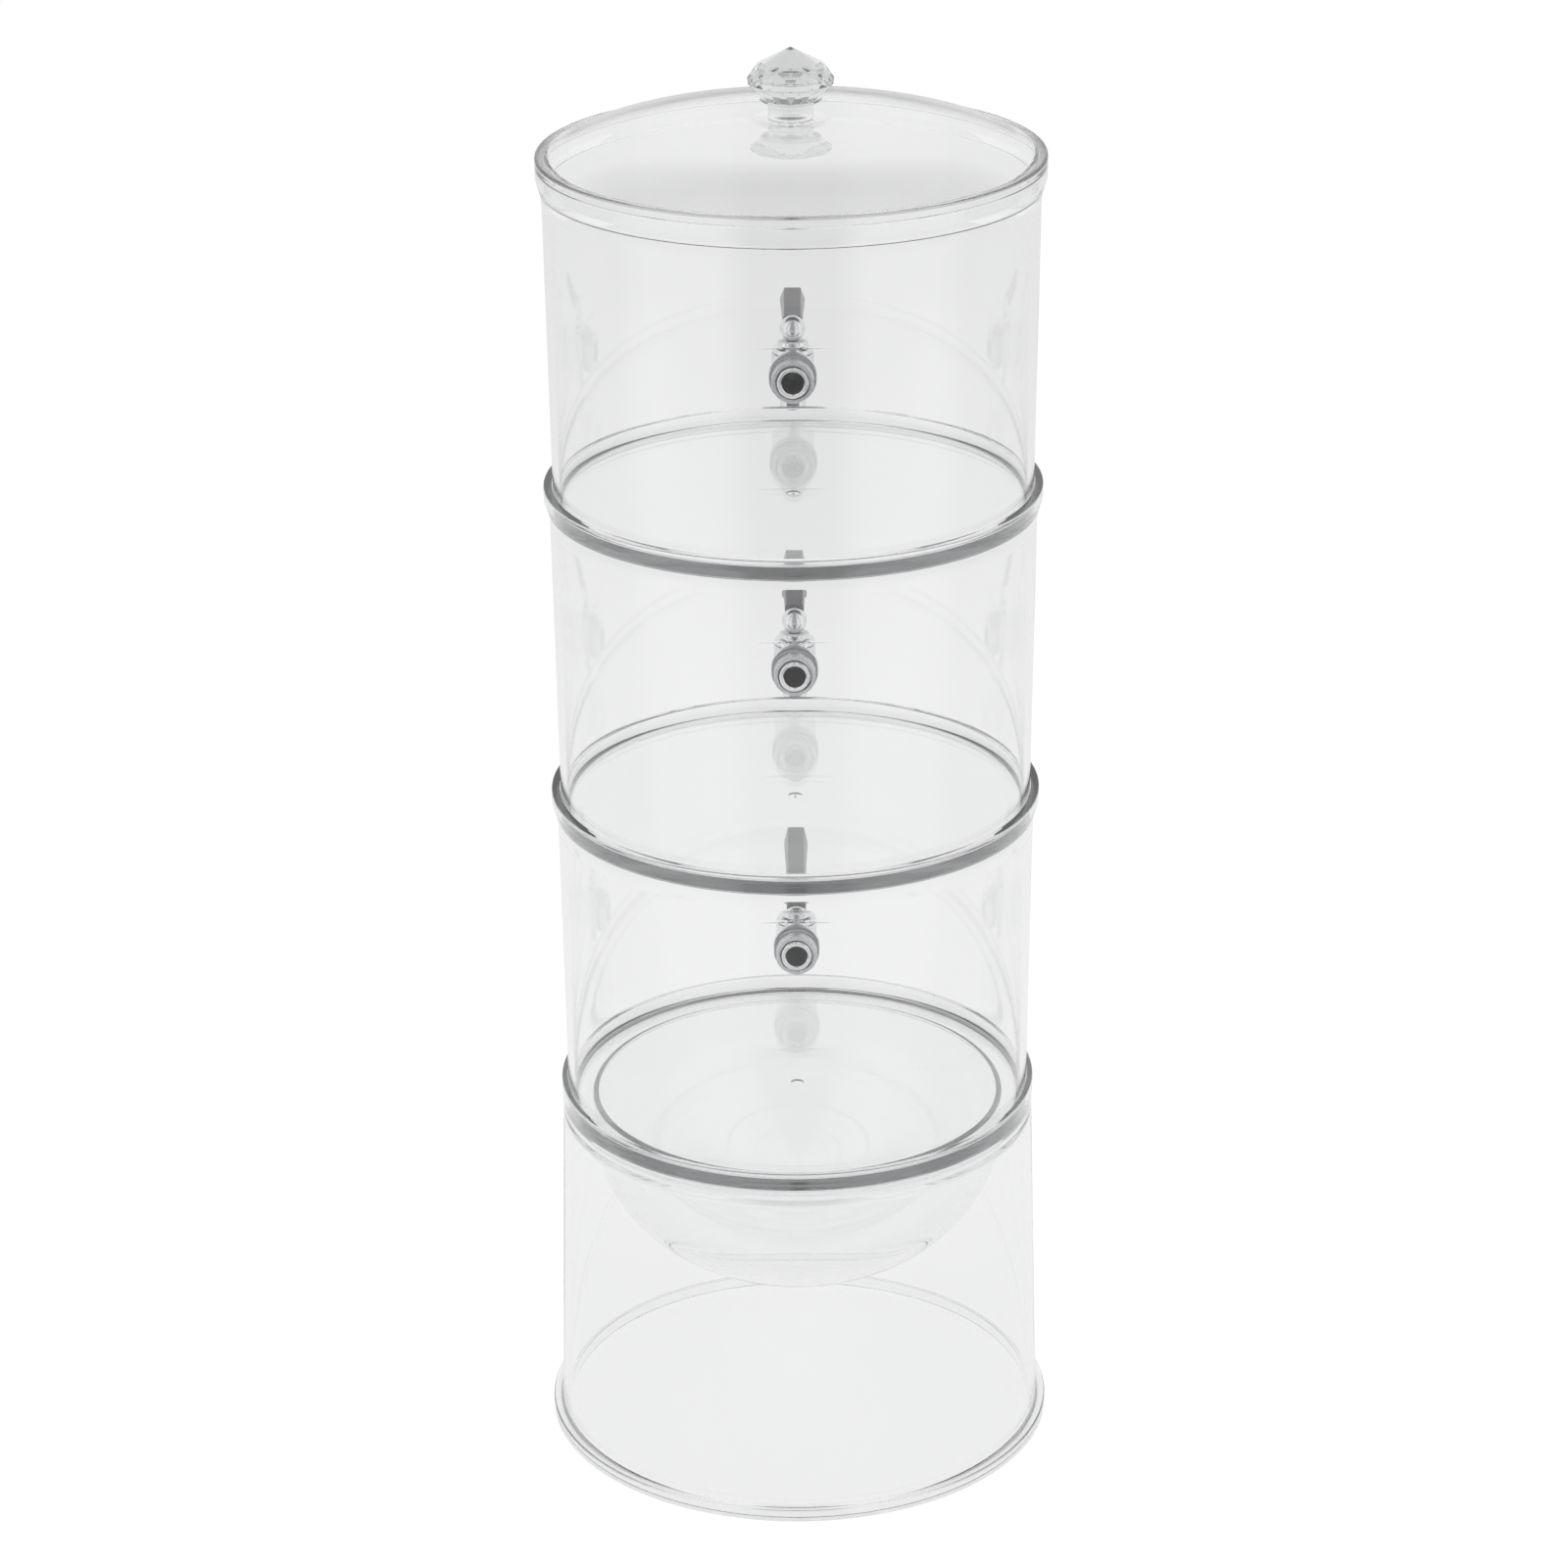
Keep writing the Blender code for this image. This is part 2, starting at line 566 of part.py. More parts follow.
def lever_pin(name, material, frame):
    """The cross pin that the lever turns on."""
    shoulder_share = (PIVOT_HEIGHT - BARREL_TOP) / (BONNET_TOP - BARREL_TOP)
    radius = BONNET_SKIRT_RADIUS + (BONNET_COLLAR_RADIUS - BONNET_SKIRT_RADIUS) * shoulder_share
    reach = math.sqrt(radius ** 2 - PIVOT_OFFSET ** 2) - PIN_RECESS
    outline = disc(PIN_RADIUS, -reach, reach)
    place = (0, PIVOT_OFFSET, PIVOT_HEIGHT)
    return make_object(name, turned_along(outline, SMALL_SIDES, (1, 0, 0)), material, frame, place)


def ball_centre():
    """The ball's centre, seen from the pivot."""
    return Vector((0, -PIVOT_OFFSET, BALL_HEIGHT - PIVOT_HEIGHT))


def stem_direction(lean):
    return Vector((0, math.sin(lean), math.cos(lean)))


def lever(name, lean, material, pivot):
    """Ball, stem, blade, hub and forked toe in one piece, modelled about the pivot."""
    tool = bmesh.new()
    bmesh.ops.create_uvsphere(tool, u_segments=ROUND_SIDES, v_segments=BALL_RINGS, radius=BALL_RADIUS)
    bmesh.ops.translate(tool, vec=ball_centre(), verts=tool.verts)
    item = make_object(name, tool, material, pivot)
    stem = disc(STEM_RADIUS, 0, GRIP_START + STEM_IN_GRIP)
    combine(item, turned_along(stem, SMALL_SIDES, stem_direction(lean), ball_centre()), "UNION")
    blade_low = (-BLADE_HALF_WIDTH, BLADE_INNER, 0)
    combine(item, block(blade_low, (BLADE_HALF_WIDTH, BLADE_OUTER, BLADE_TOP)), "UNION")
    hub = disc(HUB_RADIUS, -HUB_HALF_WIDTH, HUB_HALF_WIDTH)
    combine(item, turned_along(hub, SMALL_SIDES, (1, 0, 0)), "UNION")
    toe_low = (-HUB_HALF_WIDTH, -TOE_LENGTH, -TOE_HALF_THICKNESS)
    combine(item, block(toe_low, (HUB_HALF_WIDTH, 0, TOE_HALF_THICKNESS)), "UNION")
    half_slot = ROD_RADIUS + ROD_SLOT_GAP
    slot_low = (-half_slot, -TOE_LENGTH - OVERRUN, -HUB_RADIUS)
    slot_high = (half_slot, -PIVOT_OFFSET + half_slot, HUB_RADIUS)
    combine(item, block(slot_low, slot_high), "DIFFERENCE")
    hole = disc(PIN_HOLE_RADIUS, -HUB_HALF_WIDTH - OVERRUN, HUB_HALF_WIDTH + OVERRUN)
    combine(item, turned_along(hole, SMALL_SIDES, (1, 0, 0)), "DIFFERENCE")
    return item


def grip(name, lean, material, pivot):
    """The dark paddle pushed over the lever's stem, widest near its end."""
    sections = (
        (GRIP_START, GRIP_ROOT_WIDTH, GRIP_ROOT_BEVEL),
        (LEVER_LENGTH - GRIP_SHOULDER, GRIP_WIDTH, GRIP_BEVEL),
        (LEVER_LENGTH, GRIP_TIP_WIDTH, GRIP_TIP_BEVEL),
    )
    along = stem_direction(lean)
    side = Vector((1, 0, 0))
    up = side.cross(along)
    half_thick = GRIP_THICKNESS / 2
    tool = bmesh.new()
    loops = []
    for distance, width, bevel in sections:
        half = width / 2
        corners = ((half, half_thick - bevel), (half - bevel, half_thick))
        profile = [*corners, *[(-x, y) for x, y in reversed(corners)]]
        profile += [(-x, -y) for x, y in profile]
        centre = ball_centre() + along * distance
        loops.append([tool.verts.new(centre + side * x + up * y) for x, y in profile])
    for low, high in zip(loops, loops[1:]):
        count = len(low)
        for index in range(count):
            after = (index + 1) % count
            tool.faces.new((low[index], low[after], high[after], high[index]))
    tool.faces.new(loops[0])
    tool.faces.new(loops[-1])
    item = make_object(name, tool, material, pivot)
    socket = disc(STEM_RADIUS + FACE_GAP, GRIP_START - OVERRUN, GRIP_START + STEM_IN_GRIP + FACE_GAP)
    return combine(item, turned_along(socket, SMALL_SIDES, along, ball_centre()), "DIFFERENCE")


def plunger(name, material, hang):
    """The rod that the toe lifts by its head and that carries the valve cup."""
    outline = [(0, ROD_END), (ROD_RADIUS, ROD_END), (ROD_RADIUS, ROD_HEAD_BASE)]
    outline += [(ROD_HEAD_RADIUS, ROD_HEAD_BASE), (ROD_HEAD_RADIUS, ROD_HEAD_BASE + ROD_HEAD_HEIGHT)]
    outline += [(0, ROD_HEAD_BASE + ROD_HEAD_HEIGHT)]
    return make_object(name, turned(outline, SMALL_SIDES), material, hang, (0, 0, -HANG_HEIGHT))


def valve_cup(name, material, hang):
    """The soft cup that closes the spout's bore."""
    outline = [(0, CUP_BASE), (CUP_RADIUS, CUP_BASE), (CUP_RADIUS, CUP_TOP), (ROD_HOLE_RADIUS, CUP_TOP)]
    outline += [(ROD_HOLE_RADIUS, ROD_END - FACE_GAP), (0, ROD_END - FACE_GAP)]
    return make_object(name, turned(outline, SMALL_SIDES), material, hang, (0, 0, -HANG_HEIGHT))


def valve_spring(name, material, frame):
    """The coil that presses the valve cup down, between cup and bonnet."""
    low = CUP_TOP + FACE_GAP + SPRING_WIRE_RADIUS
    high = BONNET_BASE - FACE_GAP - SPRING_WIRE_RADIUS
    curve = bpy.data.curves.new(name, "CURVE")
    curve.dimensions = "3D"
    curve.bevel_depth = SPRING_WIRE_RADIUS
    curve.bevel_resolution = 0
    curve.use_fill_caps = True
    spline = curve.splines.new("POLY")
    steps = SPRING_TURNS * SPRING_POINTS_PER_TURN
    spline.points.add(steps)
    for step in range(steps + 1):
        angle = math.tau * step / SPRING_POINTS_PER_TURN
        height = low + (high - low) * step / steps
        spot = (SPRING_RADIUS * math.cos(angle), SPRING_RADIUS * math.sin(angle), height, 1)
        spline.points[step].co = spot
    item = bpy.data.objects.new(name, curve)
    bpy.context.scene.collection.objects.link(item)
    curve.materials.append(material)
    item.parent = frame
    return item


def tap(tier, finishes, root):
    """All the pieces of one tap, on the tank of its tier."""
    label = "_" + TIER_NAMES[tier]
    lean = math.radians(LEVER_LEANS[tier])
    height = rim_height(tier) + TAP_ABOVE_RIM
    frame = make_empty("tap_frame" + label, root, (0, TAP_OUT, height))
    pivot = make_empty("lever_axis" + label, frame, (0, PIVOT_OFFSET, PIVOT_HEIGHT))
    hang = make_empty("rod_axis" + label, frame, (0, 0, HANG_HEIGHT))
    tap_body("tap_body" + label, finishes["chrome"], frame)
    washer("outer_washer" + label, FLANGE_FACE - FACE_GAP, finishes["seal"], frame)
    washer("inner_washer" + label, INNER_WASHER_FACE, finishes["seal"], frame)
    lock_nut("lock_nut" + label, finishes["nut"], frame)
    bonnet("bonnet" + label, finishes["chrome"], frame)
    lever_pin("lever_pin" + label, finishes["steel"], frame)
    lever("lever" + label, lean, finishes["chrome"], pivot)
    grip("lever_grip" + label, lean, finishes["grip"], pivot)
    plunger("plunger" + label, finishes["steel"], hang)
    valve_cup("valve_cup" + label, finishes["seal"], hang)
    valve_spring("valve_spring" + label, finishes["steel"], frame)


def make_finishes():
    return {
        "clear": make_material("clear_plastic", (0.93, 0.94, 0.95), 0.04, alpha=0.25),
        "chrome": make_material("chrome", (0.78, 0.79, 0.80), 0.08, 1.0),
        "nut": make_material("nickel_nut", (0.60, 0.61, 0.62), 0.25, 1.0),
        "steel": make_material("steel", (0.55, 0.56, 0.57), 0.3, 1.0),
        "grip": make_material("dark_grip", (0.12, 0.12, 0.125), 0.4),
        "seal": make_material("clear_silicone", (0.82, 0.83, 0.84), 0.5),
    }


def centre_on_footprint(root):
    """Puts the world origin under the middle of the whole object's box."""
    bpy.context.view_layer.update()
    reach = []
    for item in bpy.data.objects:
        # The springs are curves, well inside the box
        if item.type == "MESH":
            reach += [(item.matrix_world @ Vector(corner)).y for corner in item.bound_box]
    root.location.y = -(min(reach) + max(reach)) / 2


def main():
    clear_scene()
    finishes = make_finishes()
    root = make_empty("dispenser")
    pedestal(finishes["clear"], root)
    ice_bowl(finishes["clear"], root)
    for tier in range(len(TIER_NAMES)):
        tank(tier, finishes["clear"], root)
        tap(tier, finishes, root)
    lid(finishes["clear"], root)
    knob(finishes["clear"], root)
    centre_on_footprint(root)
    bpy.context.view_layer.update()


main()
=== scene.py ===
"""Looks of a clear stacking beverage dispenser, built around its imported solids.

Each clear vessel is turned from its own outline, with softened edges, by one node tree.
The taps, nuts, levers and grips are finer than their solids, and every piece rides on the
body that its solid belongs to. +Z is up and the taps point along +Y.
"""

import math
from itertools import product

import bmesh
import bpy
from bpy.props import FloatProperty, FloatVectorProperty, IntProperty, PointerProperty
from mathutils import Matrix, Vector


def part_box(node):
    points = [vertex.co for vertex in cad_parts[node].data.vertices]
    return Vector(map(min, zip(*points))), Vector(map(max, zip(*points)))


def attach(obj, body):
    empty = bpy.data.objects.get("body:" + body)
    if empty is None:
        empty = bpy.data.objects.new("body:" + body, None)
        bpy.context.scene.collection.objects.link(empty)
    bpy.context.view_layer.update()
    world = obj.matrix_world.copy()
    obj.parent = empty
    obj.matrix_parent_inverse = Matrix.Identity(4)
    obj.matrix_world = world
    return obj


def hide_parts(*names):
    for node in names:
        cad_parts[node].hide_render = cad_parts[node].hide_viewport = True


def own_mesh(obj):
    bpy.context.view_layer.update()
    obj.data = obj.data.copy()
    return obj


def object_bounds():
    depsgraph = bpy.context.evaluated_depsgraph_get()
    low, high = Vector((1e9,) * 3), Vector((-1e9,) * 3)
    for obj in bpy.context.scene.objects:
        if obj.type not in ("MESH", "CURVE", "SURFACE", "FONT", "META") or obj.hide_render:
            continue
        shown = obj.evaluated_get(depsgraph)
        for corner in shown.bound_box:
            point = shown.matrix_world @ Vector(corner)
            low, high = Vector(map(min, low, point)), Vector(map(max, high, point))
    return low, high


bl_info = {
    "name": "Stacking Beverage Dispenser",
    "version": (1, 0, 0),
    "blender": (4, 5, 0),
    "location": "View3D > Sidebar > Dispenser",
    "description": "Builds the looks of a clear stacking beverage dispenser around its solids",
    "category": "Add Mesh",
}

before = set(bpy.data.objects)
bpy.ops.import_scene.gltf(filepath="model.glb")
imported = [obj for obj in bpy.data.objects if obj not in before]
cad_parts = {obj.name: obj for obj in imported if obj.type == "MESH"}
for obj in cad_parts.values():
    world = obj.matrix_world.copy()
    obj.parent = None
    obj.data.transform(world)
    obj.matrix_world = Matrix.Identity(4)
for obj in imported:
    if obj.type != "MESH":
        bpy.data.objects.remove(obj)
CAD_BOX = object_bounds()

# Places read from the solids
PEDESTAL_LOW, PEDESTAL_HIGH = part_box("base_pedestal")
AXIS_Y = (PEDESTAL_LOW.y + PEDESTAL_HIGH.y) / 2
BASE_HEIGHT = PEDESTAL_HIGH.z
TIER_NAMES = ("lower", "middle", "upper")
TIER_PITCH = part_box("tank_middle")[1].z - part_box("tank_lower")[1].z

# Sizes that the solids were built to, in metres
FACE_GAP = 0.0003
NEST_GAP = 0.0004
OVERRUN = 0.002
SEAT_DEPTH = 0.010
SOLID_WALL = 0.003
TANK_FOOT_RADIUS = 0.1132
TANK_TOP_RADIUS = 0.115
LIP_OVERHANG = 0.0027
LIP_FACE = 0.0055
FLARE_HEIGHT = 0.018
FLOOR_DROP = 0.005
FLAT_DEPTH = 0.0016
FLAT_REACH = 0.015
TAP_ABOVE_RIM = 0.0165
BASE_TOP_RADIUS = 0.1162
BASE_FOOT_RADIUS = 0.1202
BASE_FLANGE_RADIUS = 0.1248
BASE_FLANGE_HEIGHT = 0.006
BASE_LIP_OVERHANG = 0.0003
LEDGE_WIDTH = 0.003
LEDGE_HEIGHT = 0.003
BOWL_RADIUS = 0.101
BOWL_FLANGE = 0.0023
BOWL_NECK = 0.0137
BOWL_DEPTH = 0.079
LID_FLANGE = 0.0042
LID_SKIRT_GAP = 0.0006
DOME_RADIUS = 0.113
DOME_RISE = 0.015
DOME_POWER = 4
DOME_STEP = 0.0003
BOSS_RADIUS = 0.018
BOSS_HEIGHT = 0.0004
SOCKET_RADIUS = 0.0053
SOCKET_DEPTH = 0.0015
KNOB_SPIGOT_RADIUS = 0.005
KNOB_NECK_RADIUS = 0.0104
KNOB_NECK_HEIGHT = 0.0078
KNOB_COLLAR_RADIUS = 0.0143
KNOB_COLLAR_HEIGHT = 0.002
KNOB_GIRDLE_RADIUS = 0.0199
KNOB_GIRDLE_HEIGHT = 0.0185
KNOB_GIRDLE_BAND = 0.0022
KNOB_CROWN_RADIUS = 0.0164
KNOB_CROWN_HEIGHT = 0.024
KNOB_TIP_RADIUS = 0.0004
KNOB_TIP_HEIGHT = 0.0325
SHANK_RADIUS = 0.0078
SHANK_BORE_RADIUS = 0.0055
SHANK_PAST_NUT = 0.0015
SHANK_NECK = 0.0045
NECK_RADIUS = 0.0066
CLAMP_FLANGE_RADIUS = 0.012
CLAMP_FLANGE = 0.0025
BARREL_RADIUS = 0.01075
BARREL_TOP = 0.007
BARREL_BOTTOM = -0.008
CAVITY_RADIUS = 0.0075
VALVE_SEAT = -0.007
SPOUT_END = -0.021
SPOUT_RADIUS = 0.0065
SPOUT_BORE_RADIUS = 0.0045
SPOUT_SHOULDER = 0.004
WASHER_RADIUS = 0.0118
WASHER_THICKNESS = 0.0018
NUT_ACROSS_FLATS = 0.021
NUT_THICKNESS = 0.0055
BONNET_PLUG = 0.0025
BONNET_FLOOR = 0.002
BONNET_SKIRT_RADIUS = 0.0104
BONNET_SKIRT_HEIGHT = 0.001
BONNET_COLLAR_RADIUS = 0.0077
BONNET_COLLAR_HEIGHT = 0.0011
BONNET_TOP = 0.012
BONNET_WELL_RADIUS = 0.0065
PIVOT_HEIGHT = 0.009
PIVOT_OFFSET = 0.004
PIN_RADIUS = 0.0008
HUB_RADIUS = 0.0017
HUB_HALF_WIDTH = 0.0027
BALL_RADIUS = 0.0065
BALL_HEIGHT = 0.019
BLADE_HALF_WIDTH = 0.0018
BLADE_INNER = -0.0006
BLADE_OUTER = 0.0009
BLADE_TOP = 0.0075
TOE_LENGTH = 0.0049
TOE_HALF_THICKNESS = 0.0008
STEM_RADIUS = 0.0024
STEM_IN_GRIP = 0.010
GRIP_START = 0.0085
LEVER_LENGTH = 0.0445
GRIP_ROOT_WIDTH = 0.0099
GRIP_WIDTH = 0.0128
GRIP_TIP_WIDTH = 0.009
GRIP_THICKNESS = 0.0062
GRIP_ROOT_BEVEL = 0.001
GRIP_BEVEL = 0.00195
GRIP_TIP_BEVEL = 0.0006
GRIP_SHOULDER = 0.009
ROD_RADIUS = 0.0012
ROD_HEAD_RADIUS = 0.0024
ROD_SLOT_GAP = 0.0004
LEVER_LEANS = tuple(math.radians(degrees) for degrees in (66.0, 66.0, 83.0))

# Roundings, fillets and chamfers of the turned outlines, in metres
CRISP_ROUND = 0.0001
THIN_ROUND = 0.0002
FINE_ROUND = 0.0003
SMALL_ROUND = 0.0006
COLLAR_ROUND = 0.0007
BONNET_ROUND = 0.0008
GATE_ROUND = 0.001
LEDGE_ROUND = 0.001
BASE_FLANGE_ROUND = 0.0011
BARREL_ROUND = 0.0012
LIP_FACE_ROUND = 0.0012
FLARE_ROUND = 0.006
SEAT_FILLET = 0.0007
SKIRT_FILLET = 0.0008
STEM_FILLET = 0.0008
NECK_FILLET = 0.0012
SPOUT_FILLET = 0.0015
BASE_FLANGE_FILLET = 0.0022
LEDGE_FILLET = 0.003
BOSS_FILLET = 0.02
DOME_FILLET = 0.03
BORE_CHAMFER = 0.0005
SPOUT_CHAMFER = 0.0006
NUT_BORE_CHAMFER = 0.0007
NUT_CORNER_WIDTH = 0.0006
NUT_CORNER_HEIGHT = 0.0008

# Shares of the flare under a lip: height, overhang
FLARE_SHARES = ((0.0, 0.0), (0.33, 0.12), (0.60, 0.45))
# Shares of the bonnet's shoulder: height, radius
SHOULDER_SHARES = ((0.0, 0.0), (0.45, 0.22), (0.80, 0.62), (1.0, 1.0))
# Shares of the moulding gate's mark, radius and depth, where its middle ends and its edge starts
GATE_MIDDLE_SHARES = (0.35, 0.9)
GATE_EDGE_SHARES = (0.85, 0.35)
# Share of the flat's wall that the pad behind it reaches
PAD_SHARE = 0.7
# Rounding of the lid's upper rim, as a share of the other rims' rounding
LID_RIM_SHARE = 1.5
# Shares of a corner's shorter side that its arc takes at most, alone and with its holding point
ARC_SHARE = 0.45
HOLD_SHARE = 0.48

# How the meshes are made
SWEEP_RADIUS = 0.2
MERGE_DISTANCE = 0.000001
THREAD_MARGIN = 0.00002
SLANT_REACH = 0.02
SHARP_ANGLE = math.radians(32)
KNOB_SHARP_ANGLE = math.radians(30)
NUT_SHARP_ANGLE = math.radians(20)
GRIP_SHARP_ANGLE = math.radians(60)
ROUND_STEP = math.radians(18)
STRAIGHT_BEND = math.radians(1)
PIN_SIDES = 32
HUB_SIDES = 48
HOLE_SIDES = 64
KNOB_SIDES = 128
BALL_STEPS = 28
CUP_STEPS = 40
DOME_STEPS = 48
THREAD_STEPS = 8

# Where a finish changes on its piece, and where the painted shade on the lid and the painted highlight on the
# grips start, in metres
MASK_MARGIN = 0.0001
PAINTED_LID_SHADE_RADIUS = 0.116
PAINTED_LID_SHADE_DEPTH = 0.0011
PAINTED_GRIP_HIGHLIGHT_EDGES = (0.0041, 0.0044)

# Numbers of the finishes. The rings turned on a nut repeat every tau / RING_RATE metres.
RING_RATE = 26000.0
RING_HEIGHT = 0.3
# Roughness added where shade or light is painted on the plating.
PAINTED_PATCH_ROUGHNESS = 0.5
# The grips' painted highlight on their bevels is this many times their colour.
PAINTED_HIGHLIGHT_FACTOR = 2.6
NOISE_SPAN = (0.3, 0.7)

# Directions and plain colours
ACROSS = (1, 0, 0)
OUTWARD = (0, 1, 0)
BLACK = (0.0, 0.0, 0.0)
WHITE = (1.0, 1.0, 1.0)


# What a user can change

def number(name, description, default, **kind):
    """A number, with its unit or subtype where one fits."""
    return FloatProperty(name=name, description=description, default=default, **kind)


def length(name, description, default):
    return number(name, description, default, unit="LENGTH")


def paint(name, description, *channels):
    return FloatVectorProperty(name=name, description=description, default=channels, subtype="COLOR")


class DispenserVessels(bpy.types.PropertyGroup):
    """Sizes of the clear vessels that can change without moving their seats."""

    sides: IntProperty(name="Sides", description="Facets round each vessel", default=192, min=48)
    wall: length("Wall", "Wall of the tanks and the pedestal", 0.003)
    lid_wall: length("Lid wall", "Wall of the lid", 0.0025)
    bowl_wall: length("Bowl wall", "Wall of the bowl", 0.0025)
    rim_round: length("Rim round", "Rounding of rims", 0.0007)
    edge_round: length("Edge round", "Rounding of edges", 0.0004)
    floor_fillet: length("Floor fillet", "Fillet round a tank's floor", 0.002)
    gate_radius: length("Gate radius", "Radius of the moulding gate's mark", 0.0033)
    gate_depth: length("Gate depth", "Depth of the mark", 0.0011)


class DispenserKnob(bpy.types.PropertyGroup):
    """Cut of the lid's knob."""

    facets: IntProperty(name="Facets", description="Facets of the crown", default=8, min=3)
    edge_round: length("Edge round", "Width of the softened cut edges", 0.00012)


class DispenserTap(bpy.types.PropertyGroup):
    """Detail of the taps."""

    sides: IntProperty(name="Sides", description="Facets round the turned pieces", default=96, min=24)
    edge_round: length("Edge round", "Rounding of turned edges", 0.0004)
    bonnet_rise: length("Bonnet rise", "Extra height beside the ball", 0.0012)
    thread_pitch: length("Thread pitch", "Pitch on the shank", 0.0014)
    thread_depth: length("Thread depth", "Depth on the shank", 0.0006)
    nut_turn: length("Nut turn", "Radius that the corners are turned to", 0.0108)
    grip_round: length("Grip round", "Width of the softened edges of the grip", 0.0003)


class DispenserFinishes(bpy.types.PropertyGroup):
    """Colours of the finishes, with painted light and painted shade among them."""

    clear: paint("Clear plastic", "Tint", 0.996, 0.997, 0.998)
    clear_ior: number("Clear index", "Index of refraction", 1.49)
    clear_loss: number("Clear loss", "Light lost per metre of plastic", 7.0)
    # Painted shade: how much black is mixed into the clear colour on the outer corner of the lid's rim.
    painted_lid_shade: number("Lid edge", "Light that the rim's corner holds back", 0.5)
    # Painted shade: a dark colour inside the shank's bore.
    bore: paint("Bore", "Inside the shank", 0.035, 0.035, 0.035)
    # Painted light: a pale colour on the bonnet's top and in its slot, standing in for bright reflections.
    painted_well_light: paint("Well", "On the bonnet's top and in its slot", 0.9, 0.9, 0.9)
    chrome: paint("Chrome", "Plated casting", 0.78, 0.79, 0.80)
    nickel: paint("Nickel", "Lock nuts", 0.72, 0.73, 0.74)
    steel: paint("Steel", "Pins and rods", 0.55, 0.56, 0.57)
    grip: paint("Grip", "Lever grips", 0.10, 0.10, 0.105)
    seal: paint("Seal", "Washers and cups", 0.97, 0.975, 0.98)


class DispenserStage(bpy.types.PropertyGroup):
    """Floor, lamps and camera."""

    floor_radius: length("Floor radius", "Reach of the floor", 12.0)
    floor: paint("Floor", "Colour of the floor", 0.82, 0.82, 0.82)
    floor_white: number("Floor white", "Share of the floor seen as plain white", 0.9)
    floor_bent: number("Floor in glass", "The same share through glass, far off", 0.72)
    floor_near: number("Near floor", "The same share through glass, near the pedestal", 0.765)
    floor_front: number("Front floor", "What metal sees of the floor far in front", 0.5)
    floor_side: number("Side floor", "What metal sees of the floor beside that", 1.0)
    floor_shade: number("Floor shade", "Share of the floor that shows shadows", 0.16)
    side_power: number("Side lamps", "Power of each side lamp", 14.0, unit="POWER")
    top_power: number("Top lamp", "Power of the top lamp", 14.0, unit="POWER")
    room: number("Room", "Plain light from all round", 0.55)
    dark_room: number("Dark room", "What metal sees behind the camera", 0.35)
    side_white: number("Side white", "What metal sees at both sides", 1.05)
    seen_white: number("Seen white", "Backdrop as metal and glass see it", 0.95)
    high_white: number("High white", "The same, higher up", 0.1)
    lens: number("Lens", "Focal length in millimetres", 106.879766)
    camera_place: FloatVectorProperty(
        name="Camera", description="Place of the camera", subtype="XYZ", unit="LENGTH",
        default=(0.001705, -2.112909, 1.178686))
    camera_pitch: number("Pitch", "Downward tilt", math.radians(21.98375), subtype="ANGLE")
    camera_yaw: number("Yaw", "Turn about the vertical", math.radians(-0.19713), subtype="ANGLE")
    camera_roll: number("Roll", "Turn about the view", math.radians(-0.43937), subtype="ANGLE")


# Places worked out from the sizes

def rim_height(tier):
    """Height of the rim that tier number `tier` stands in; tier 0 stands in the pedestal."""
    return BASE_HEIGHT + tier * TIER_PITCH


TANK_HEIGHT = TIER_PITCH + SEAT_DEPTH - FACE_GAP
MOUTH_RADIUS = TANK_FOOT_RADIUS + NEST_GAP
FLOOR_TOP = SEAT_DEPTH - FACE_GAP - FLOOR_DROP
TAP_HEIGHT = SEAT_DEPTH - FACE_GAP + TAP_ABOVE_RIM


def tank_radius_at(height):
    """Outer radius of the tank's wall at a height above its foot."""
    share = height / (TANK_HEIGHT - FLARE_HEIGHT)
    return TANK_FOOT_RADIUS + (TANK_TOP_RADIUS - TANK_FOOT_RADIUS) * share


def dome_height(radius, base_radius):
    """Height of the full dome over its own base, at a distance from its axis."""
    return DOME_RISE * (1 - (radius / base_radius) ** DOME_POWER)


FLAT_OUTER = tank_radius_at(TAP_HEIGHT) - FLAT_DEPTH
FLAT_INNER = FLAT_OUTER - SOLID_WALL
FLANGE_FACE = FLAT_OUTER + FACE_GAP + WASHER_THICKNESS + FACE_GAP
TAP_OUT = FLANGE_FACE + CLAMP_FLANGE + SHANK_NECK + BARREL_RADIUS
INNER_WASHER_FACE = FLAT_INNER - FACE_GAP
NUT_FACE = INNER_WASHER_FACE - WASHER_THICKNESS - FACE_GAP
SHANK_END = NUT_FACE - NUT_THICKNESS - SHANK_PAST_NUT
LID_TOP = rim_height(len(TIER_NAMES)) + FACE_GAP + LID_FLANGE
BOSS_TOP = LID_TOP + DOME_STEP + dome_height(BOSS_RADIUS, DOME_RADIUS) + BOSS_HEIGHT
BALL_CENTRE = Vector((0, -PIVOT_OFFSET, BALL_HEIGHT - PIVOT_HEIGHT))


def tap_place(tier):
    """The crossing of a tap's two axes, in the row's frame."""
    return Vector((0, AXIS_Y + TAP_OUT, rim_height(tier) + TAP_ABOVE_RIM))


def pivot_place(tier):
    """The middle of a lever's hinge pin."""
    return tap_place(tier) + Vector((0, PIVOT_OFFSET, PIVOT_HEIGHT))


# Node trees

def made_once(kind, name):
    """Makes a function that fills a new data block of that name run once; later calls find the block."""
    def wrap(make):
        def find():
            blocks = getattr(bpy.data, kind)
            if name not in blocks:
                make(name)
            return blocks[name]
        return find
    return wrap


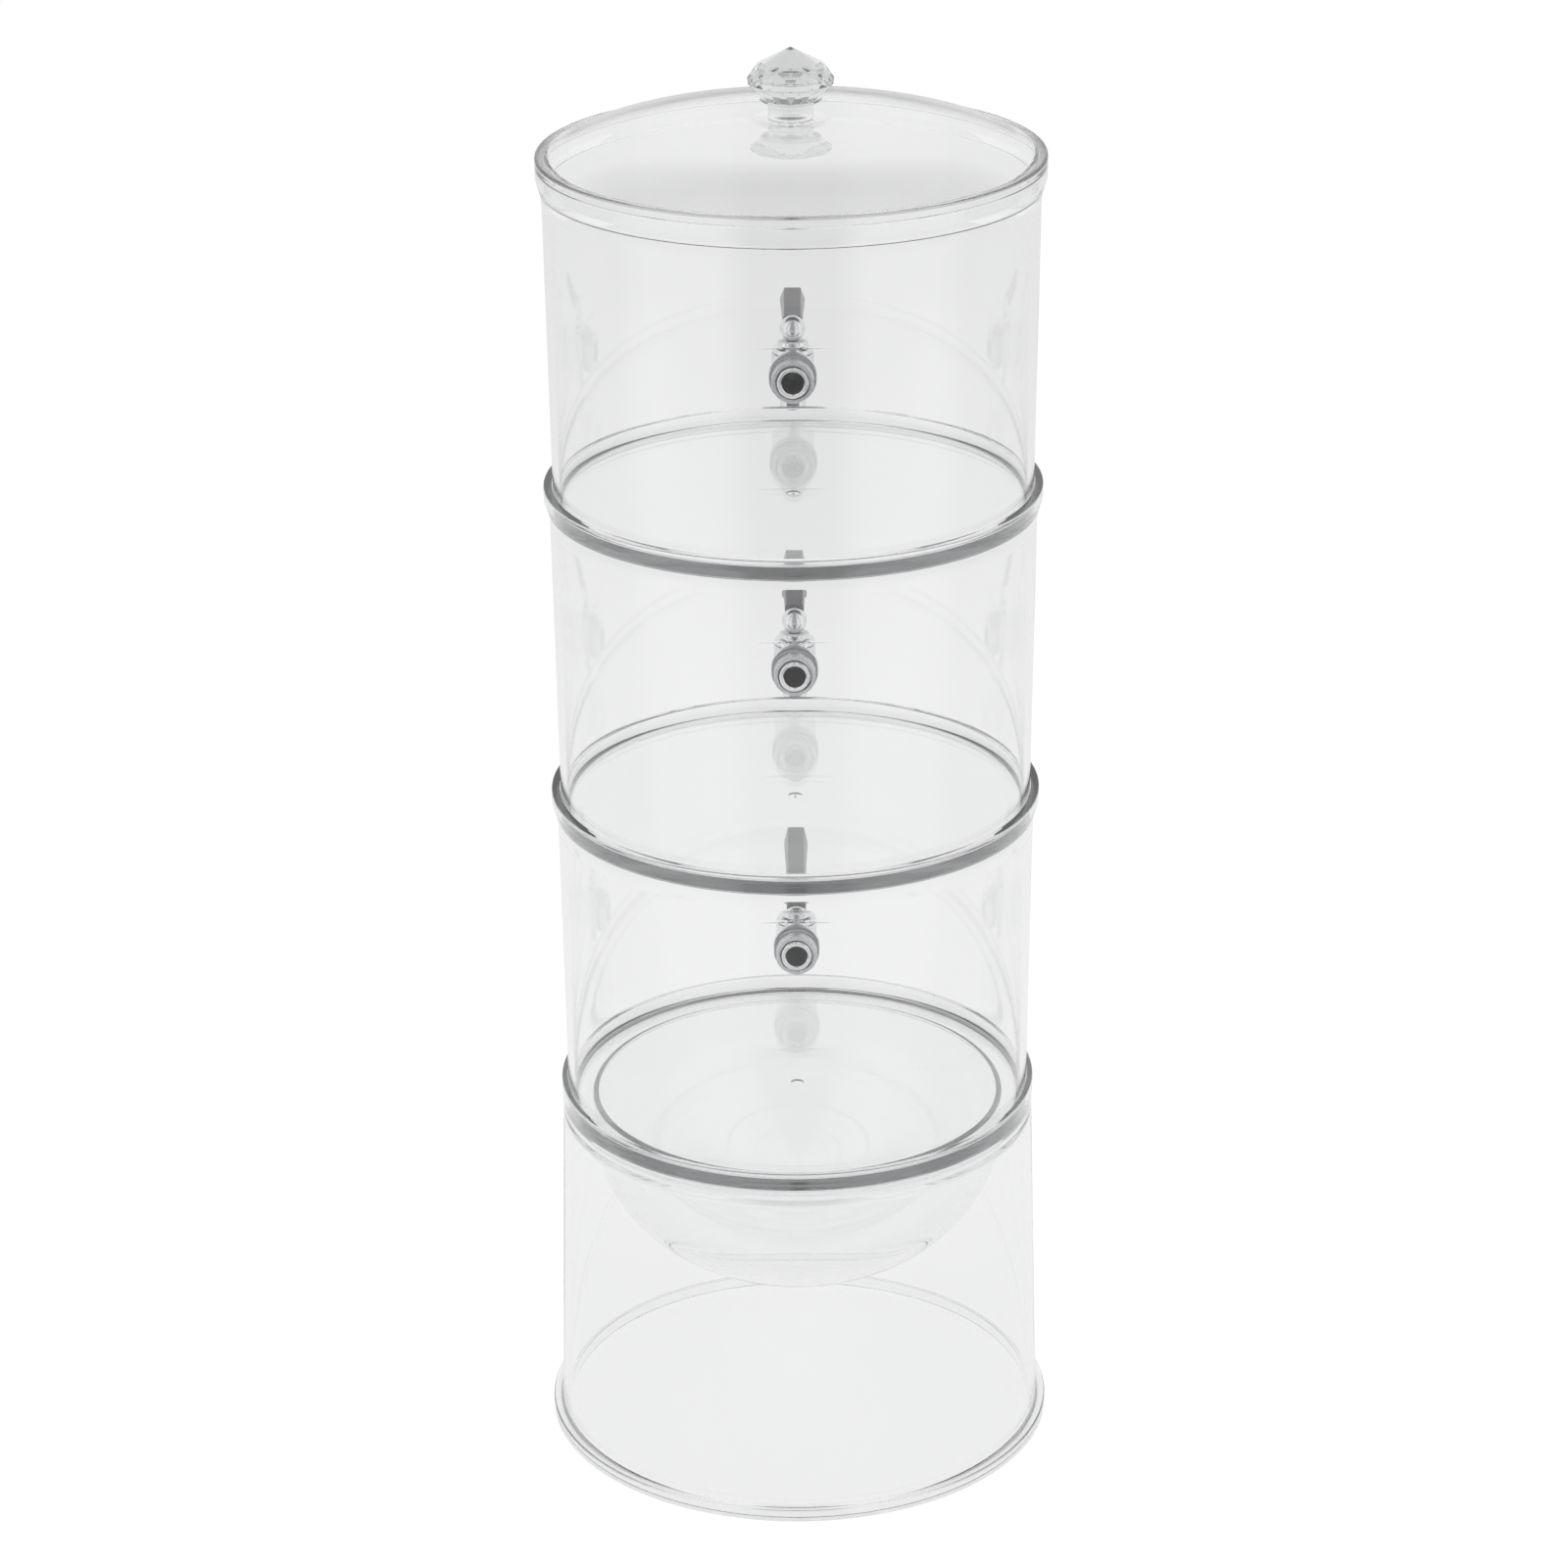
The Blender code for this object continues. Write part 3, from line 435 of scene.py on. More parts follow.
def feed(tree, socket, value):
    """Links a socket to another one, or gives it a plain value."""
    if isinstance(value, bpy.types.NodeSocket):
        tree.links.new(value, socket)
    elif socket.type == "RGBA":
        socket.default_value = (*value, 1.0)
    else:
        socket.default_value = value


def add_node(tree, kind, inputs=(), **settings):
    """Adds a node with its settings, and feeds the inputs that are named by label or number."""
    node = tree.nodes.new(kind)
    for name, value in settings.items():
        setattr(node, name, value)
    for label, value in dict(inputs).items():
        feed(tree, node.inputs[label], value)
    return node


def add_math(tree, operation, *values):
    """Adds a Math node fed by sockets or plain numbers and returns its result."""
    return add_node(tree, "ShaderNodeMath", enumerate(values), operation=operation).outputs[0]


def add_hypotenuse(tree, first, second):
    squares = [add_math(tree, "MULTIPLY", side, side) for side in (first, second)]
    return add_math(tree, "SQRT", add_math(tree, "ADD", *squares))


def split(tree, vector):
    """The three coordinates of a vector."""
    return add_node(tree, "ShaderNodeSeparateXYZ", {"Vector": vector}).outputs


def new_tree(name, counts, sizes):
    """A geometry node tree with whole and plain numbers as inputs, and the sockets that give them."""
    tree = bpy.data.node_groups.new(name, "GeometryNodeTree")
    inputs = [("Geometry", "Geometry"), ("Finish", "Material")]
    inputs += [(label, "Int") for label in counts] + [(label, "Float") for label in sizes]
    for label, kind in inputs:
        tree.interface.new_socket(label, in_out="INPUT", socket_type="NodeSocket" + kind)
    tree.interface.new_socket("Geometry", in_out="OUTPUT", socket_type="NodeSocketGeometry")
    return tree, tree.nodes.new("NodeGroupInput").outputs


def close_tree(tree, geometry, finish):
    """Ends a tree in Realize Instances and Set Material."""
    real = add_node(tree, "GeometryNodeRealizeInstances", {"Geometry": geometry}).outputs[0]
    painted = add_node(tree, "GeometryNodeSetMaterial", {"Geometry": real, "Material": finish})
    add_node(tree, "NodeGroupOutput", {"Geometry": painted.outputs["Geometry"]})


@made_once("node_groups", "Turned Outline")
def turning_tree(name):
    """Sweeps an outline round a circle, so that it becomes a turned shell."""
    tree, given = new_tree(name, ("Sides",), ("Sweep Radius", "Merge Distance"))
    circle = add_node(tree, "GeometryNodeCurvePrimitiveCircle", {
        "Resolution": given["Sides"], "Radius": given["Sweep Radius"]})
    upright = add_node(tree, "GeometryNodeSetCurveNormal", {"Curve": circle.outputs["Curve"]}, mode="Z_UP")
    profile = add_node(tree, "GeometryNodeMeshToCurve", {"Mesh": given["Geometry"]})
    sweep = add_node(tree, "GeometryNodeCurveToMesh", {
        "Curve": upright.outputs["Curve"], "Profile Curve": profile.outputs["Curve"]})
    merge = add_node(tree, "GeometryNodeMergeByDistance", {
        "Geometry": sweep.outputs["Mesh"], "Distance": given["Merge Distance"]})
    close_tree(tree, merge.outputs["Geometry"], given["Finish"])


@made_once("node_groups", "Cut Thread")
def thread_tree(name):
    """Cuts a helical groove into whatever lies at the crest radius about Z."""
    tree, given = new_tree(name, (), ("Crest Radius", "Pitch", "Depth"))
    place = tree.nodes.new("GeometryNodeInputPosition").outputs["Position"]
    across, aside, along = split(tree, place)
    radius = add_hypotenuse(tree, across, aside)
    turn = add_math(tree, "DIVIDE", add_math(tree, "ARCTAN2", aside, across), math.tau)
    rise = add_math(tree, "DIVIDE", along, given["Pitch"])
    phase = add_math(tree, "FRACT", add_math(tree, "SUBTRACT", rise, turn))
    slant = add_math(tree, "SUBTRACT", add_math(tree, "MULTIPLY", phase, 2.0), 1.0)
    tooth = add_math(tree, "ABSOLUTE", slant)
    crest = add_math(tree, "SUBTRACT", given["Crest Radius"], THREAD_MARGIN)
    on_crest = add_math(tree, "GREATER_THAN", radius, crest)
    groove = add_math(tree, "MULTIPLY", add_math(tree, "MULTIPLY", tooth, given["Depth"]), on_crest)
    # The axis itself has no radius to divide by
    divisor = add_math(tree, "MAXIMUM", radius, THREAD_MARGIN / 2)
    share = add_math(tree, "DIVIDE", add_math(tree, "SUBTRACT", radius, groove), divisor)
    joined = add_node(tree, "ShaderNodeCombineXYZ", {
        "X": add_math(tree, "MULTIPLY", across, share),
        "Y": add_math(tree, "MULTIPLY", aside, share), "Z": along})
    move = add_node(tree, "GeometryNodeSetPosition", {
        "Geometry": given["Geometry"], "Position": joined.outputs[0]})
    close_tree(tree, move.outputs["Geometry"], given["Finish"])


@made_once("node_groups", "Cut Jewel")
def jewel_tree(name):
    """Wraps a tight hull round rings of points, as the facets of a cut stone."""
    tree, given = new_tree(name, ("Facets",), (
        "Collar Radius", "Collar Height", "Girdle Radius", "Girdle Low", "Girdle High",
        "Crown Radius", "Crown Height", "Tip Height"))
    coarse = given["Facets"]
    fine = add_math(tree, "MULTIPLY", coarse, 2.0)
    quarter = -math.pi / 2
    fine_turn, coarse_turn = (
        add_math(tree, "ADD", add_math(tree, "DIVIDE", math.pi, count), quarter) for count in (fine, coarse))
    rings = (
        (fine, given["Collar Radius"], given["Collar Height"], quarter),
        (fine, given["Girdle Radius"], given["Girdle Low"], fine_turn),
        (fine, given["Girdle Radius"], given["Girdle High"], quarter),
        (coarse, given["Crown Radius"], given["Crown Height"], coarse_turn),
        (coarse, KNOB_TIP_RADIUS, given["Tip Height"], coarse_turn),
    )
    together = tree.nodes.new("GeometryNodeJoinGeometry")
    for count, radius, height, turn in rings:
        circle = add_node(tree, "GeometryNodeMeshCircle", {"Vertices": count, "Radius": radius})
        place, spin = (add_node(tree, "ShaderNodeCombineXYZ", {"Z": value}) for value in (height, turn))
        move = add_node(tree, "GeometryNodeTransform", {
            "Geometry": circle.outputs["Mesh"], "Translation": place.outputs[0], "Rotation": spin.outputs[0]})
        feed(tree, together.inputs["Geometry"], move.outputs["Geometry"])
    hull = add_node(tree, "GeometryNodeConvexHull", {"Geometry": together.outputs["Geometry"]})
    close_tree(tree, hull.outputs["Convex Hull"], given["Finish"])


def run_tree(item, tree, inputs):
    """Gives `item` the plain mesh that a node tree makes of it."""
    step = item.modifiers.new(tree.name, "NODES")
    step.node_group = tree
    for socket in tree.interface.items_tree:
        if socket.in_out == "INPUT" and socket.name in inputs:
            step[socket.identifier] = inputs[socket.name]
    keep_result(item)


def keep_result(item):
    """Makes the evaluated mesh the item's own and drops its modifiers."""
    bpy.context.view_layer.update()
    graph = bpy.context.evaluated_depsgraph_get()
    result = bpy.data.meshes.new_from_object(item.evaluated_get(graph), depsgraph=graph)
    item.modifiers.clear()
    old = item.data
    item.data = result
    bpy.data.meshes.remove(old)


# Making meshes

def link_object(name, mesh):
    item = bpy.data.objects.new(name, mesh)
    bpy.context.scene.collection.objects.link(item)
    return item


def mesh_from(tool, name):
    """A new mesh with what a bmesh holds, which is freed."""
    mesh = bpy.data.meshes.new(name)
    tool.to_mesh(mesh)
    tool.free()
    return mesh


def face_outwards(mesh):
    tool = bmesh.new()
    tool.from_mesh(mesh)
    bmesh.ops.recalc_face_normals(tool, faces=tool.faces)
    if tool.calc_volume(signed=True) < 0:
        bmesh.ops.reverse_faces(tool, faces=tool.faces)
    tool.to_mesh(mesh)
    tool.free()


def rounded_corner(back, spot, ahead, radius):
    """Points of an arc that rounds one corner, with a holding point on each side of it."""
    to_back = back - spot
    to_ahead = ahead - spot
    if to_back.length == 0 or to_ahead.length == 0:
        return [spot]
    bend = math.pi - to_back.angle(to_ahead)
    if bend < STRAIGHT_BEND:
        return [spot]
    room = min(to_back.length, to_ahead.length)
    tangent = min(radius * math.tan(bend / 2), ARC_SHARE * room)
    radius = tangent / math.tan(bend / 2)
    to_back.normalize()
    to_ahead.normalize()
    centre = spot + (to_back + to_ahead).normalized() * (radius / math.cos(bend / 2))
    first = spot + to_back * tangent - centre
    side = 1 if to_back.cross(to_ahead) < 0 else -1
    steps = max(2, math.ceil(bend / ROUND_STEP))
    points = []
    for step in range(steps + 1):
        turn = Matrix.Rotation(side * bend * step / steps, 2)
        points.append(centre + turn @ first)
    hold = min(tangent / 2, HOLD_SHARE * room - tangent)
    if hold > 0:
        points.insert(0, points[0] + to_back * hold)
        points.append(points[-1] + to_ahead * hold)
    return points


def softened(outline, closed):
    """Rounds the corners of an outline of (radius, height) or (radius, height, round) points."""
    spots = [Vector(point[:2]) for point in outline]
    points = []
    for index, point in enumerate(outline):
        at_end = not closed and index in (0, len(outline) - 1)
        if at_end or len(point) < 3:
            points.append(spots[index])
            continue
        ahead = spots[(index + 1) % len(spots)]
        points += rounded_corner(spots[index - 1], spots[index], ahead, point[2])
    return points


def turned(name, outline, sides, finish=None, closed=False):
    """A solid turned about Z. Its outline runs from axis to axis, or is a closed loop."""
    points = softened(outline, closed)
    mesh = bpy.data.meshes.new(name)
    edges = [(index, index + 1) for index in range(len(points) - 1)]
    if closed:
        edges.append((len(points) - 1, 0))
    # The sweep lays an outline's second coordinate downwards
    mesh.from_pydata([(radius - SWEEP_RADIUS, -height, 0) for radius, height in points], edges, [])
    item = link_object(name, mesh)
    run_tree(item, turning_tree(), {
        "Sides": sides, "Sweep Radius": SWEEP_RADIUS, "Merge Distance": MERGE_DISTANCE, "Finish": finish})
    face_outwards(item.data)
    return item


def turned_along(name, outline, sides, axis, place=(0, 0, 0), closed=False):
    """A turned solid whose own axis points along `axis` from `place`."""
    item = turned(name, outline, sides, closed=closed)
    turn = Vector((0, 0, 1)).rotation_difference(Vector(axis)).to_matrix().to_4x4()
    item.data.transform(Matrix.Translation(place) @ turn)
    return item


def disc(radius, low, high, edge=0.0):
    """Outline of a plain cylinder with rounded edges."""
    return [(0, low), (radius, low, edge), (radius, high, edge), (0, high)]


def mouth(radius, start, chamfer):
    """First points of a bore's outline: past the face that it starts in, and its chamfer."""
    wide = radius + chamfer
    return [(0, start - OVERRUN), (wide, start - OVERRUN), (wide, start), (radius, start + chamfer)]


def hull_of(name, corners):
    """The convex solid round some corners."""
    tool = bmesh.new()
    for corner in corners:
        tool.verts.new(corner)
    bmesh.ops.convex_hull(tool, input=tool.verts)
    return link_object(name, mesh_from(tool, name))


def block(name, low, high):
    """A box between two corners, as a tool for cutting or joining."""
    return hull_of(name, product(*zip(low, high)))


def combine(item, tool, operation):
    """Joins, cuts or intersects `item` with `tool`, and keeps their seam to be sharpened later."""
    for solid in (item, tool):
        if not solid.data.materials or solid.data.materials[0] is None:
            solid.data.materials.clear()
            solid.data.materials.append(bpy.data.materials.new("seam"))
    step = item.modifiers.new("step", "BOOLEAN")
    step.object = tool
    step.operation = operation
    step.solver = "EXACT"
    step.material_mode = "TRANSFER"
    keep_result(item)
    bpy.data.objects.remove(tool, do_unlink=True)


def round_edges(item, width, segments, least_bend):
    """Bevels the edges that bend by more than `least_bend` degrees."""
    step = item.modifiers.new("soften", "BEVEL")
    step.width = width
    step.segments = segments
    step.limit_method = "ANGLE"
    step.angle_limit = math.radians(least_bend)
    keep_result(item)


def sharpen(mesh, angle):
    """Smooth faces, with the edges crisp where they are steep or where two solids were combined."""
    mesh.shade_smooth()
    mesh.set_sharp_from_angle(angle=angle)
    kinds = {}
    for polygon in mesh.polygons:
        for key in polygon.edge_keys:
            kinds.setdefault(key, set()).add(polygon.material_index)
    for edge in mesh.edges:
        if len(kinds.get(tuple(sorted(edge.vertices)), ())) > 1:
            edge.use_edge_sharp = True


def set_finish(mesh, finish):
    mesh.materials.clear()
    mesh.materials.append(finish)


def dress(item, finish, angle=SHARP_ANGLE):
    """Gives a finished mesh its shading and its one finish."""
    sharpen(item.data, angle)
    set_finish(item.data, finish)
    for polygon in item.data.polygons:
        polygon.material_index = 0


def flatten_facets(item):
    """Lets wide faces keep their own normals, so that only the narrow ones between them look round."""
    item.modifiers.new("weigh", "WEIGHTED_NORMAL").keep_sharp = True
    keep_result(item)


def put(item, body, node, place=(0, 0, 0)):
    """Moves a finished mesh to its place, on its body, instead of its solid."""
    item.data.transform(Matrix.Translation(place))
    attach(item, body)
    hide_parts(node)


def put_vessel(item, body, node, height=0.0):
    """Puts a clear piece on its body, on the vessels' axis."""
    put(item, body, node, (0, AXIS_Y, height))


def drop(item):
    mesh = item.data
    bpy.data.objects.remove(item, do_unlink=True)
    bpy.data.meshes.remove(mesh)


# Finishes

def new_finish(name):
    """A new node material's tree, its shader's inputs, its coordinates and the chosen colours."""
    material = bpy.data.materials.new(name)
    material.use_nodes = True
    tree = material.node_tree
    coordinates = tree.nodes.new("ShaderNodeTexCoord").outputs["Object"]
    return tree, tree.nodes["Principled BSDF"].inputs, coordinates, bpy.context.scene.dispenser_finishes


def add_noise(tree, coordinates, scale, detail=2.0):
    inputs = {"Vector": coordinates, "Scale": scale, "Detail": detail}
    return add_node(tree, "ShaderNodeTexNoise", inputs).outputs["Fac"]


def add_range(tree, value, source, target=(0.0, 1.0)):
    """Moves a value from one span of numbers into another."""
    return add_node(tree, "ShaderNodeMapRange", {
        "Value": value, "From Min": source[0], "From Max": source[1],
        "To Min": target[0], "To Max": target[1]}).outputs["Result"]


def add_mix(tree, share, first, second):
    return add_node(tree, "ShaderNodeMix", {0: share, 2: first, 3: second}).outputs[0]


def add_colour_mix(tree, share, first, second):
    return add_node(tree, "ShaderNodeMix", {0: share, 6: first, 7: second}, data_type="RGBA").outputs[2]


def shaded(tree, share, colour, factor):
    """A colour that turns into a multiple of itself where the share is one."""
    return add_colour_mix(tree, share, colour, tuple(channel * factor for channel in colour))


def stretched(tree, coordinates, scale):
    """Coordinates scaled along each way, for a grain that runs one way or to leave a way out."""
    return add_node(tree, "ShaderNodeMapping", {"Vector": coordinates, "Scale": scale}).outputs["Vector"]


def cover(tree, shader, colour, roughness, relief, strength, distance):
    """Feeds the shader its colour, its roughness and a bump."""
    bump = add_node(tree, "ShaderNodeBump", {"Height": relief, "Strength": strength, "Distance": distance})
    feed(tree, shader["Base Color"], colour)
    feed(tree, shader["Roughness"], roughness)
    feed(tree, shader["Normal"], bump.outputs["Normal"])


def from_shank_axis(tree, coordinates):
    """Distance from the axis of the nearest tap's shank."""
    across, _, up = split(tree, coordinates)
    height = add_math(tree, "SUBTRACT", up, rim_height(0) + TAP_ABOVE_RIM)
    return add_hypotenuse(tree, across, add_math(tree, "WRAP", height, TIER_PITCH / 2, -TIER_PITCH / 2))


def from_upright_axis(tree, coordinates, y):
    """Distance from the upright axis that stands at Y = y, on the middle plane."""
    level = stretched(tree, coordinates, (1.0, 1.0, 0.0))
    inputs = {0: level, 1: (0.0, y, 0.0)}
    return add_node(tree, "ShaderNodeVectorMath", inputs, operation="DISTANCE").outputs["Value"]


def on_painted_lid_shade(tree, coordinates):
    """One on the outer corner of the lid's rim, where shade is painted, zero elsewhere."""
    up = split(tree, coordinates)["Z"]
    high = add_math(tree, "GREATER_THAN", up, LID_TOP - PAINTED_LID_SHADE_DEPTH)
    low = add_math(tree, "LESS_THAN", up, LID_TOP + MASK_MARGIN)
    out = add_math(tree, "GREATER_THAN", from_upright_axis(tree, coordinates, AXIS_Y), PAINTED_LID_SHADE_RADIUS)
    return add_math(tree, "MULTIPLY", out, add_math(tree, "MULTIPLY", high, low))


def in_bore_painted_shade(tree, coordinates):
    """One inside the shank's bore, where shade is painted, zero elsewhere."""
    near = add_math(tree, "LESS_THAN", from_shank_axis(tree, coordinates), SHANK_BORE_RADIUS + MASK_MARGIN)
    before = add_math(tree, "LESS_THAN", split(tree, coordinates)["Y"], AXIS_Y + TAP_OUT)
    return add_math(tree, "MULTIPLY", near, before)


def in_painted_well_light(tree, coordinates):
    """One on the bonnet's top and in its slot, where light is painted, zero elsewhere."""
    distance = from_upright_axis(tree, coordinates, AXIS_Y + TAP_OUT)
    return add_math(tree, "LESS_THAN", distance, BONNET_COLLAR_RADIUS - MASK_MARGIN)


@made_once("materials", "clear_plastic_moulded")
def clear_plastic(name):
    """Clear moulded plastic: faint flow waves, hairline wear, and painted shade, black mixed into the colour,
    on the outer corner of the lid's rim.
    """
    tree, shader, coordinates, finishes = new_finish(name)
    feed(tree, shader["IOR"], finishes.clear_ior)
    feed(tree, shader["Transmission Weight"], 1.0)
    flow = add_noise(tree, stretched(tree, coordinates, (1.0, 1.0, 0.35)), scale=22.0)
    wear = add_noise(tree, coordinates, scale=750.0, detail=4.0)
    tint = shaded(tree, flow, finishes.clear, factor=0.996)
    # Painted shade: black mixed into the colour on the outer corner of the lid's rim, standing in for its
    # dark edge line.
    edge = add_math(tree, "MULTIPLY", on_painted_lid_shade(tree, coordinates), finishes.painted_lid_shade)
    rough = add_range(tree, wear, source=(0.62, 0.78), target=(0.0, 0.03))
    cover(tree, shader, add_colour_mix(tree, edge, tint, BLACK), rough, flow, strength=0.05, distance=0.0004)
    through = add_node(tree, "ShaderNodeBsdfTransparent", {"Color": (0.94, 0.945, 0.95)})
    path = tree.nodes.new("ShaderNodeLightPath")
    surface = add_node(tree, "ShaderNodeMixShader", {
        0: path.outputs["Is Shadow Ray"], 1: tree.nodes["Principled BSDF"].outputs[0], 2: through.outputs[0]})
    loss = add_node(tree, "ShaderNodeVolumeAbsorption", {
        "Color": (0.0, 0.02, 0.03), "Density": finishes.clear_loss})
    output = tree.nodes["Material Output"].inputs
    feed(tree, output["Surface"], surface.outputs[0])
    feed(tree, output["Volume"], loss.outputs[0])


def plated(name, inside, painted_colour):
    """Bright plating with faint smears, and a rough, not metallic painted colour where the share that inside
    gives is one: painted shade in the bore, painted light on the bonnet's top and in its slot.
    """
    tree, shader, coordinates, finishes = new_finish(name)
    share = inside(tree, coordinates)
    smear = add_noise(tree, coordinates, scale=160.0, detail=4.0)
    polish = add_noise(tree, stretched(tree, coordinates, (1.0, 1.0, 6.0)), scale=900.0, detail=3.0)
    bright = shaded(tree, smear, finishes.chrome, factor=0.94)
    # Mixes in the painted colour: painted shade in the bore, painted light on the bonnet's top and in its
    # slot.
    colour = add_colour_mix(tree, share, bright, getattr(finishes, painted_colour))
    rough = add_range(tree, smear, source=(0.4, 0.75), target=(0.05, 0.14))
    rougher = add_math(tree, "ADD", rough, add_math(tree, "MULTIPLY", share, PAINTED_PATCH_ROUGHNESS))
    feed(tree, shader["Metallic"], add_math(tree, "SUBTRACT", 1.0, share))
    cover(tree, shader, colour, rougher, polish, strength=0.06, distance=0.00005)


@made_once("materials", "chrome_plated")
def polished_chrome(name):
    """Bright plating over a polished casting, with painted shade, a dull dark colour, in the bore."""
    plated(name, in_bore_painted_shade, "bore")


@made_once("materials", "chrome_and_painted_well_light")
def bonnet_chrome(name):
    """The same plating, with painted light, a pale flat colour standing in for bright reflections, on the
    bonnet's top and in its slot.
    """
    plated(name, in_painted_well_light, "painted_well_light")


@made_once("materials", "nickel_turned")
def turned_nickel(name):
    """Plain plated nut: fine turning rings on its faces and a soft grain."""
    tree, shader, coordinates, finishes = new_finish(name)
    feed(tree, shader["Metallic"], 1.0)
    rings = add_math(tree, "SINE", add_math(tree, "MULTIPLY", from_shank_axis(tree, coordinates), RING_RATE))
    grain = add_noise(tree, coordinates, scale=1100.0, detail=4.0)
    relief = add_math(tree, "ADD", add_math(tree, "MULTIPLY", rings, RING_HEIGHT), grain)
    rough = add_range(tree, grain, NOISE_SPAN, target=(0.24, 0.36))
    colour = shaded(tree, grain, finishes.nickel, factor=0.86)
    cover(tree, shader, colour, rough, relief, strength=0.12, distance=0.00006)


@made_once("materials", "steel_drawn")
def drawn_steel(name):
    """Drawn wire and rod: grain along its length."""
    tree, shader, coordinates, finishes = new_finish(name)
    feed(tree, shader["Metallic"], 1.0)
    grain = add_noise(tree, stretched(tree, coordinates, (1.0, 1.0, 0.08)), scale=3200.0, detail=3.0)
    rough = add_range(tree, grain, NOISE_SPAN, target=(0.26, 0.38))
    colour = shaded(tree, grain, finishes.steel, factor=0.8)
    cover(tree, shader, colour, rough, grain, strength=0.15, distance=0.00004)


@made_once("materials", "grip_satin")
def satin_grip(name):
    """Dark moulded plastic with a fine eroded grain, and a painted highlight, a paler colour, on the bevelled
    long edges.
    """
    tree, shader, coordinates, finishes = new_finish(name)
    grain = add_noise(tree, coordinates, scale=2600.0, detail=5.0)
    wear = add_noise(tree, coordinates, scale=120.0)
    across = add_math(tree, "ABSOLUTE", split(tree, coordinates)["X"])
    # Painted highlight: the colour grows paler across the bevelled long edges.
    pale = tuple(channel * PAINTED_HIGHLIGHT_FACTOR for channel in finishes.grip)
    edge = add_range(tree, across, PAINTED_GRIP_HIGHLIGHT_EDGES)
    colour = add_colour_mix(tree, edge, shaded(tree, wear, finishes.grip, factor=1.3), pale)
    rough = add_range(tree, grain, NOISE_SPAN, target=(0.24, 0.34))
    cover(tree, shader, colour, rough, grain, strength=0.2, distance=0.00005)


@made_once("materials", "silicone_milky")
def milky_silicone(name):
    """Soft translucent seal."""
    tree, shader, coordinates, finishes = new_finish(name)
    feed(tree, shader["IOR"], 1.15)
    feed(tree, shader["Transmission Weight"], 0.85)
    cloud = add_noise(tree, coordinates, scale=420.0, detail=3.0)
    rough = add_range(tree, cloud, NOISE_SPAN, target=(0.12, 0.22))
    colour = shaded(tree, cloud, finishes.seal, factor=0.93)
    cover(tree, shader, colour, rough, cloud, strength=0.1, distance=0.00008)


# Vessels

def lip(height, wall_radius, overhang, sizes):
    """Outer face, rounded rim and mouth of a vessel, from the flare up and in."""
    flare = FLARE_HEIGHT - LIP_FACE
    points = []
    for up_share, out_share in FLARE_SHARES:
        up = height - FLARE_HEIGHT + flare * up_share
        points.append((wall_radius + overhang * out_share, up, FLARE_ROUND))
    face = wall_radius + overhang
    points += [(face, height - LIP_FACE, LIP_FACE_ROUND), (face, height, sizes.rim_round)]
    return [*points, (MOUTH_RADIUS, height, sizes.edge_round)]


class DISPENSER_OT_pedestal(bpy.types.Operator):
    """Turns the clear pedestal with its foot flange, lip and ledge"""

    bl_idname = "dispenser.pedestal"
    bl_label = "Pedestal"

    def execute(self, context):
        sizes = context.scene.dispenser_vessels
        edge = sizes.edge_round
        ledge = BASE_HEIGHT - SEAT_DEPTH - BOWL_FLANGE - FACE_GAP
        inner_top = BASE_TOP_RADIUS - sizes.wall
        ledge_radius = inner_top - LEDGE_WIDTH
        outline = [
            (BASE_FOOT_RADIUS - sizes.wall, 0, edge),
            (BASE_FLANGE_RADIUS, 0, SMALL_ROUND),
            (BASE_FLANGE_RADIUS, BASE_FLANGE_HEIGHT, BASE_FLANGE_ROUND),
            (BASE_FOOT_RADIUS, BASE_FLANGE_HEIGHT, BASE_FLANGE_FILLET),
            *lip(BASE_HEIGHT, BASE_TOP_RADIUS, BASE_LIP_OVERHANG, sizes),
            (MOUTH_RADIUS, ledge, FINE_ROUND),
            (ledge_radius, ledge, edge),
            (ledge_radius, ledge - LEDGE_HEIGHT, LEDGE_ROUND),
            (inner_top, ledge - 2 * LEDGE_HEIGHT, LEDGE_FILLET),
        ]
        item = turned("pedestal_moulded", outline, sizes.sides, clear_plastic(), closed=True)
        dress(item, clear_plastic())
        put_vessel(item, "pedestal", "base_pedestal")
        return {"FINISHED"}


def cup_curve(brim_height, radius, depth):
    """Points of a rounded cup's outline, from its lowest point up to its brim."""
    points = []
    for step in range(CUP_STEPS + 1):
        angle = math.pi / 2 * step / CUP_STEPS
        points.append((radius * math.sin(angle), brim_height - depth * math.cos(angle)))
    return points


class DISPENSER_OT_ice_bowl(bpy.types.Operator):
    """Turns the clear rounded bowl that hangs in the pedestal's mouth"""

    bl_idname = "dispenser.ice_bowl"
    bl_label = "Ice bowl"

    def execute(self, context):
        sizes = context.scene.dispenser_vessels
        edge = sizes.edge_round
        top = BASE_HEIGHT - SEAT_DEPTH
        flange_low = top - BOWL_FLANGE
        centre = flange_low - BOWL_NECK
        inner = BOWL_RADIUS - sizes.bowl_wall
        outline = [
            *cup_curve(centre, BOWL_RADIUS, BOWL_DEPTH),
            (BOWL_RADIUS, flange_low, edge), (TANK_FOOT_RADIUS, flange_low, edge),
            (TANK_FOOT_RADIUS, top, edge), (inner, top, edge),
            *reversed(cup_curve(centre, inner, BOWL_DEPTH - sizes.bowl_wall)),
        ]
        item = turned("ice_bowl_moulded", outline, sizes.sides, clear_plastic())
        dress(item, clear_plastic())
        put_vessel(item, "bowl", "ice_bowl")
        return {"FINISHED"}


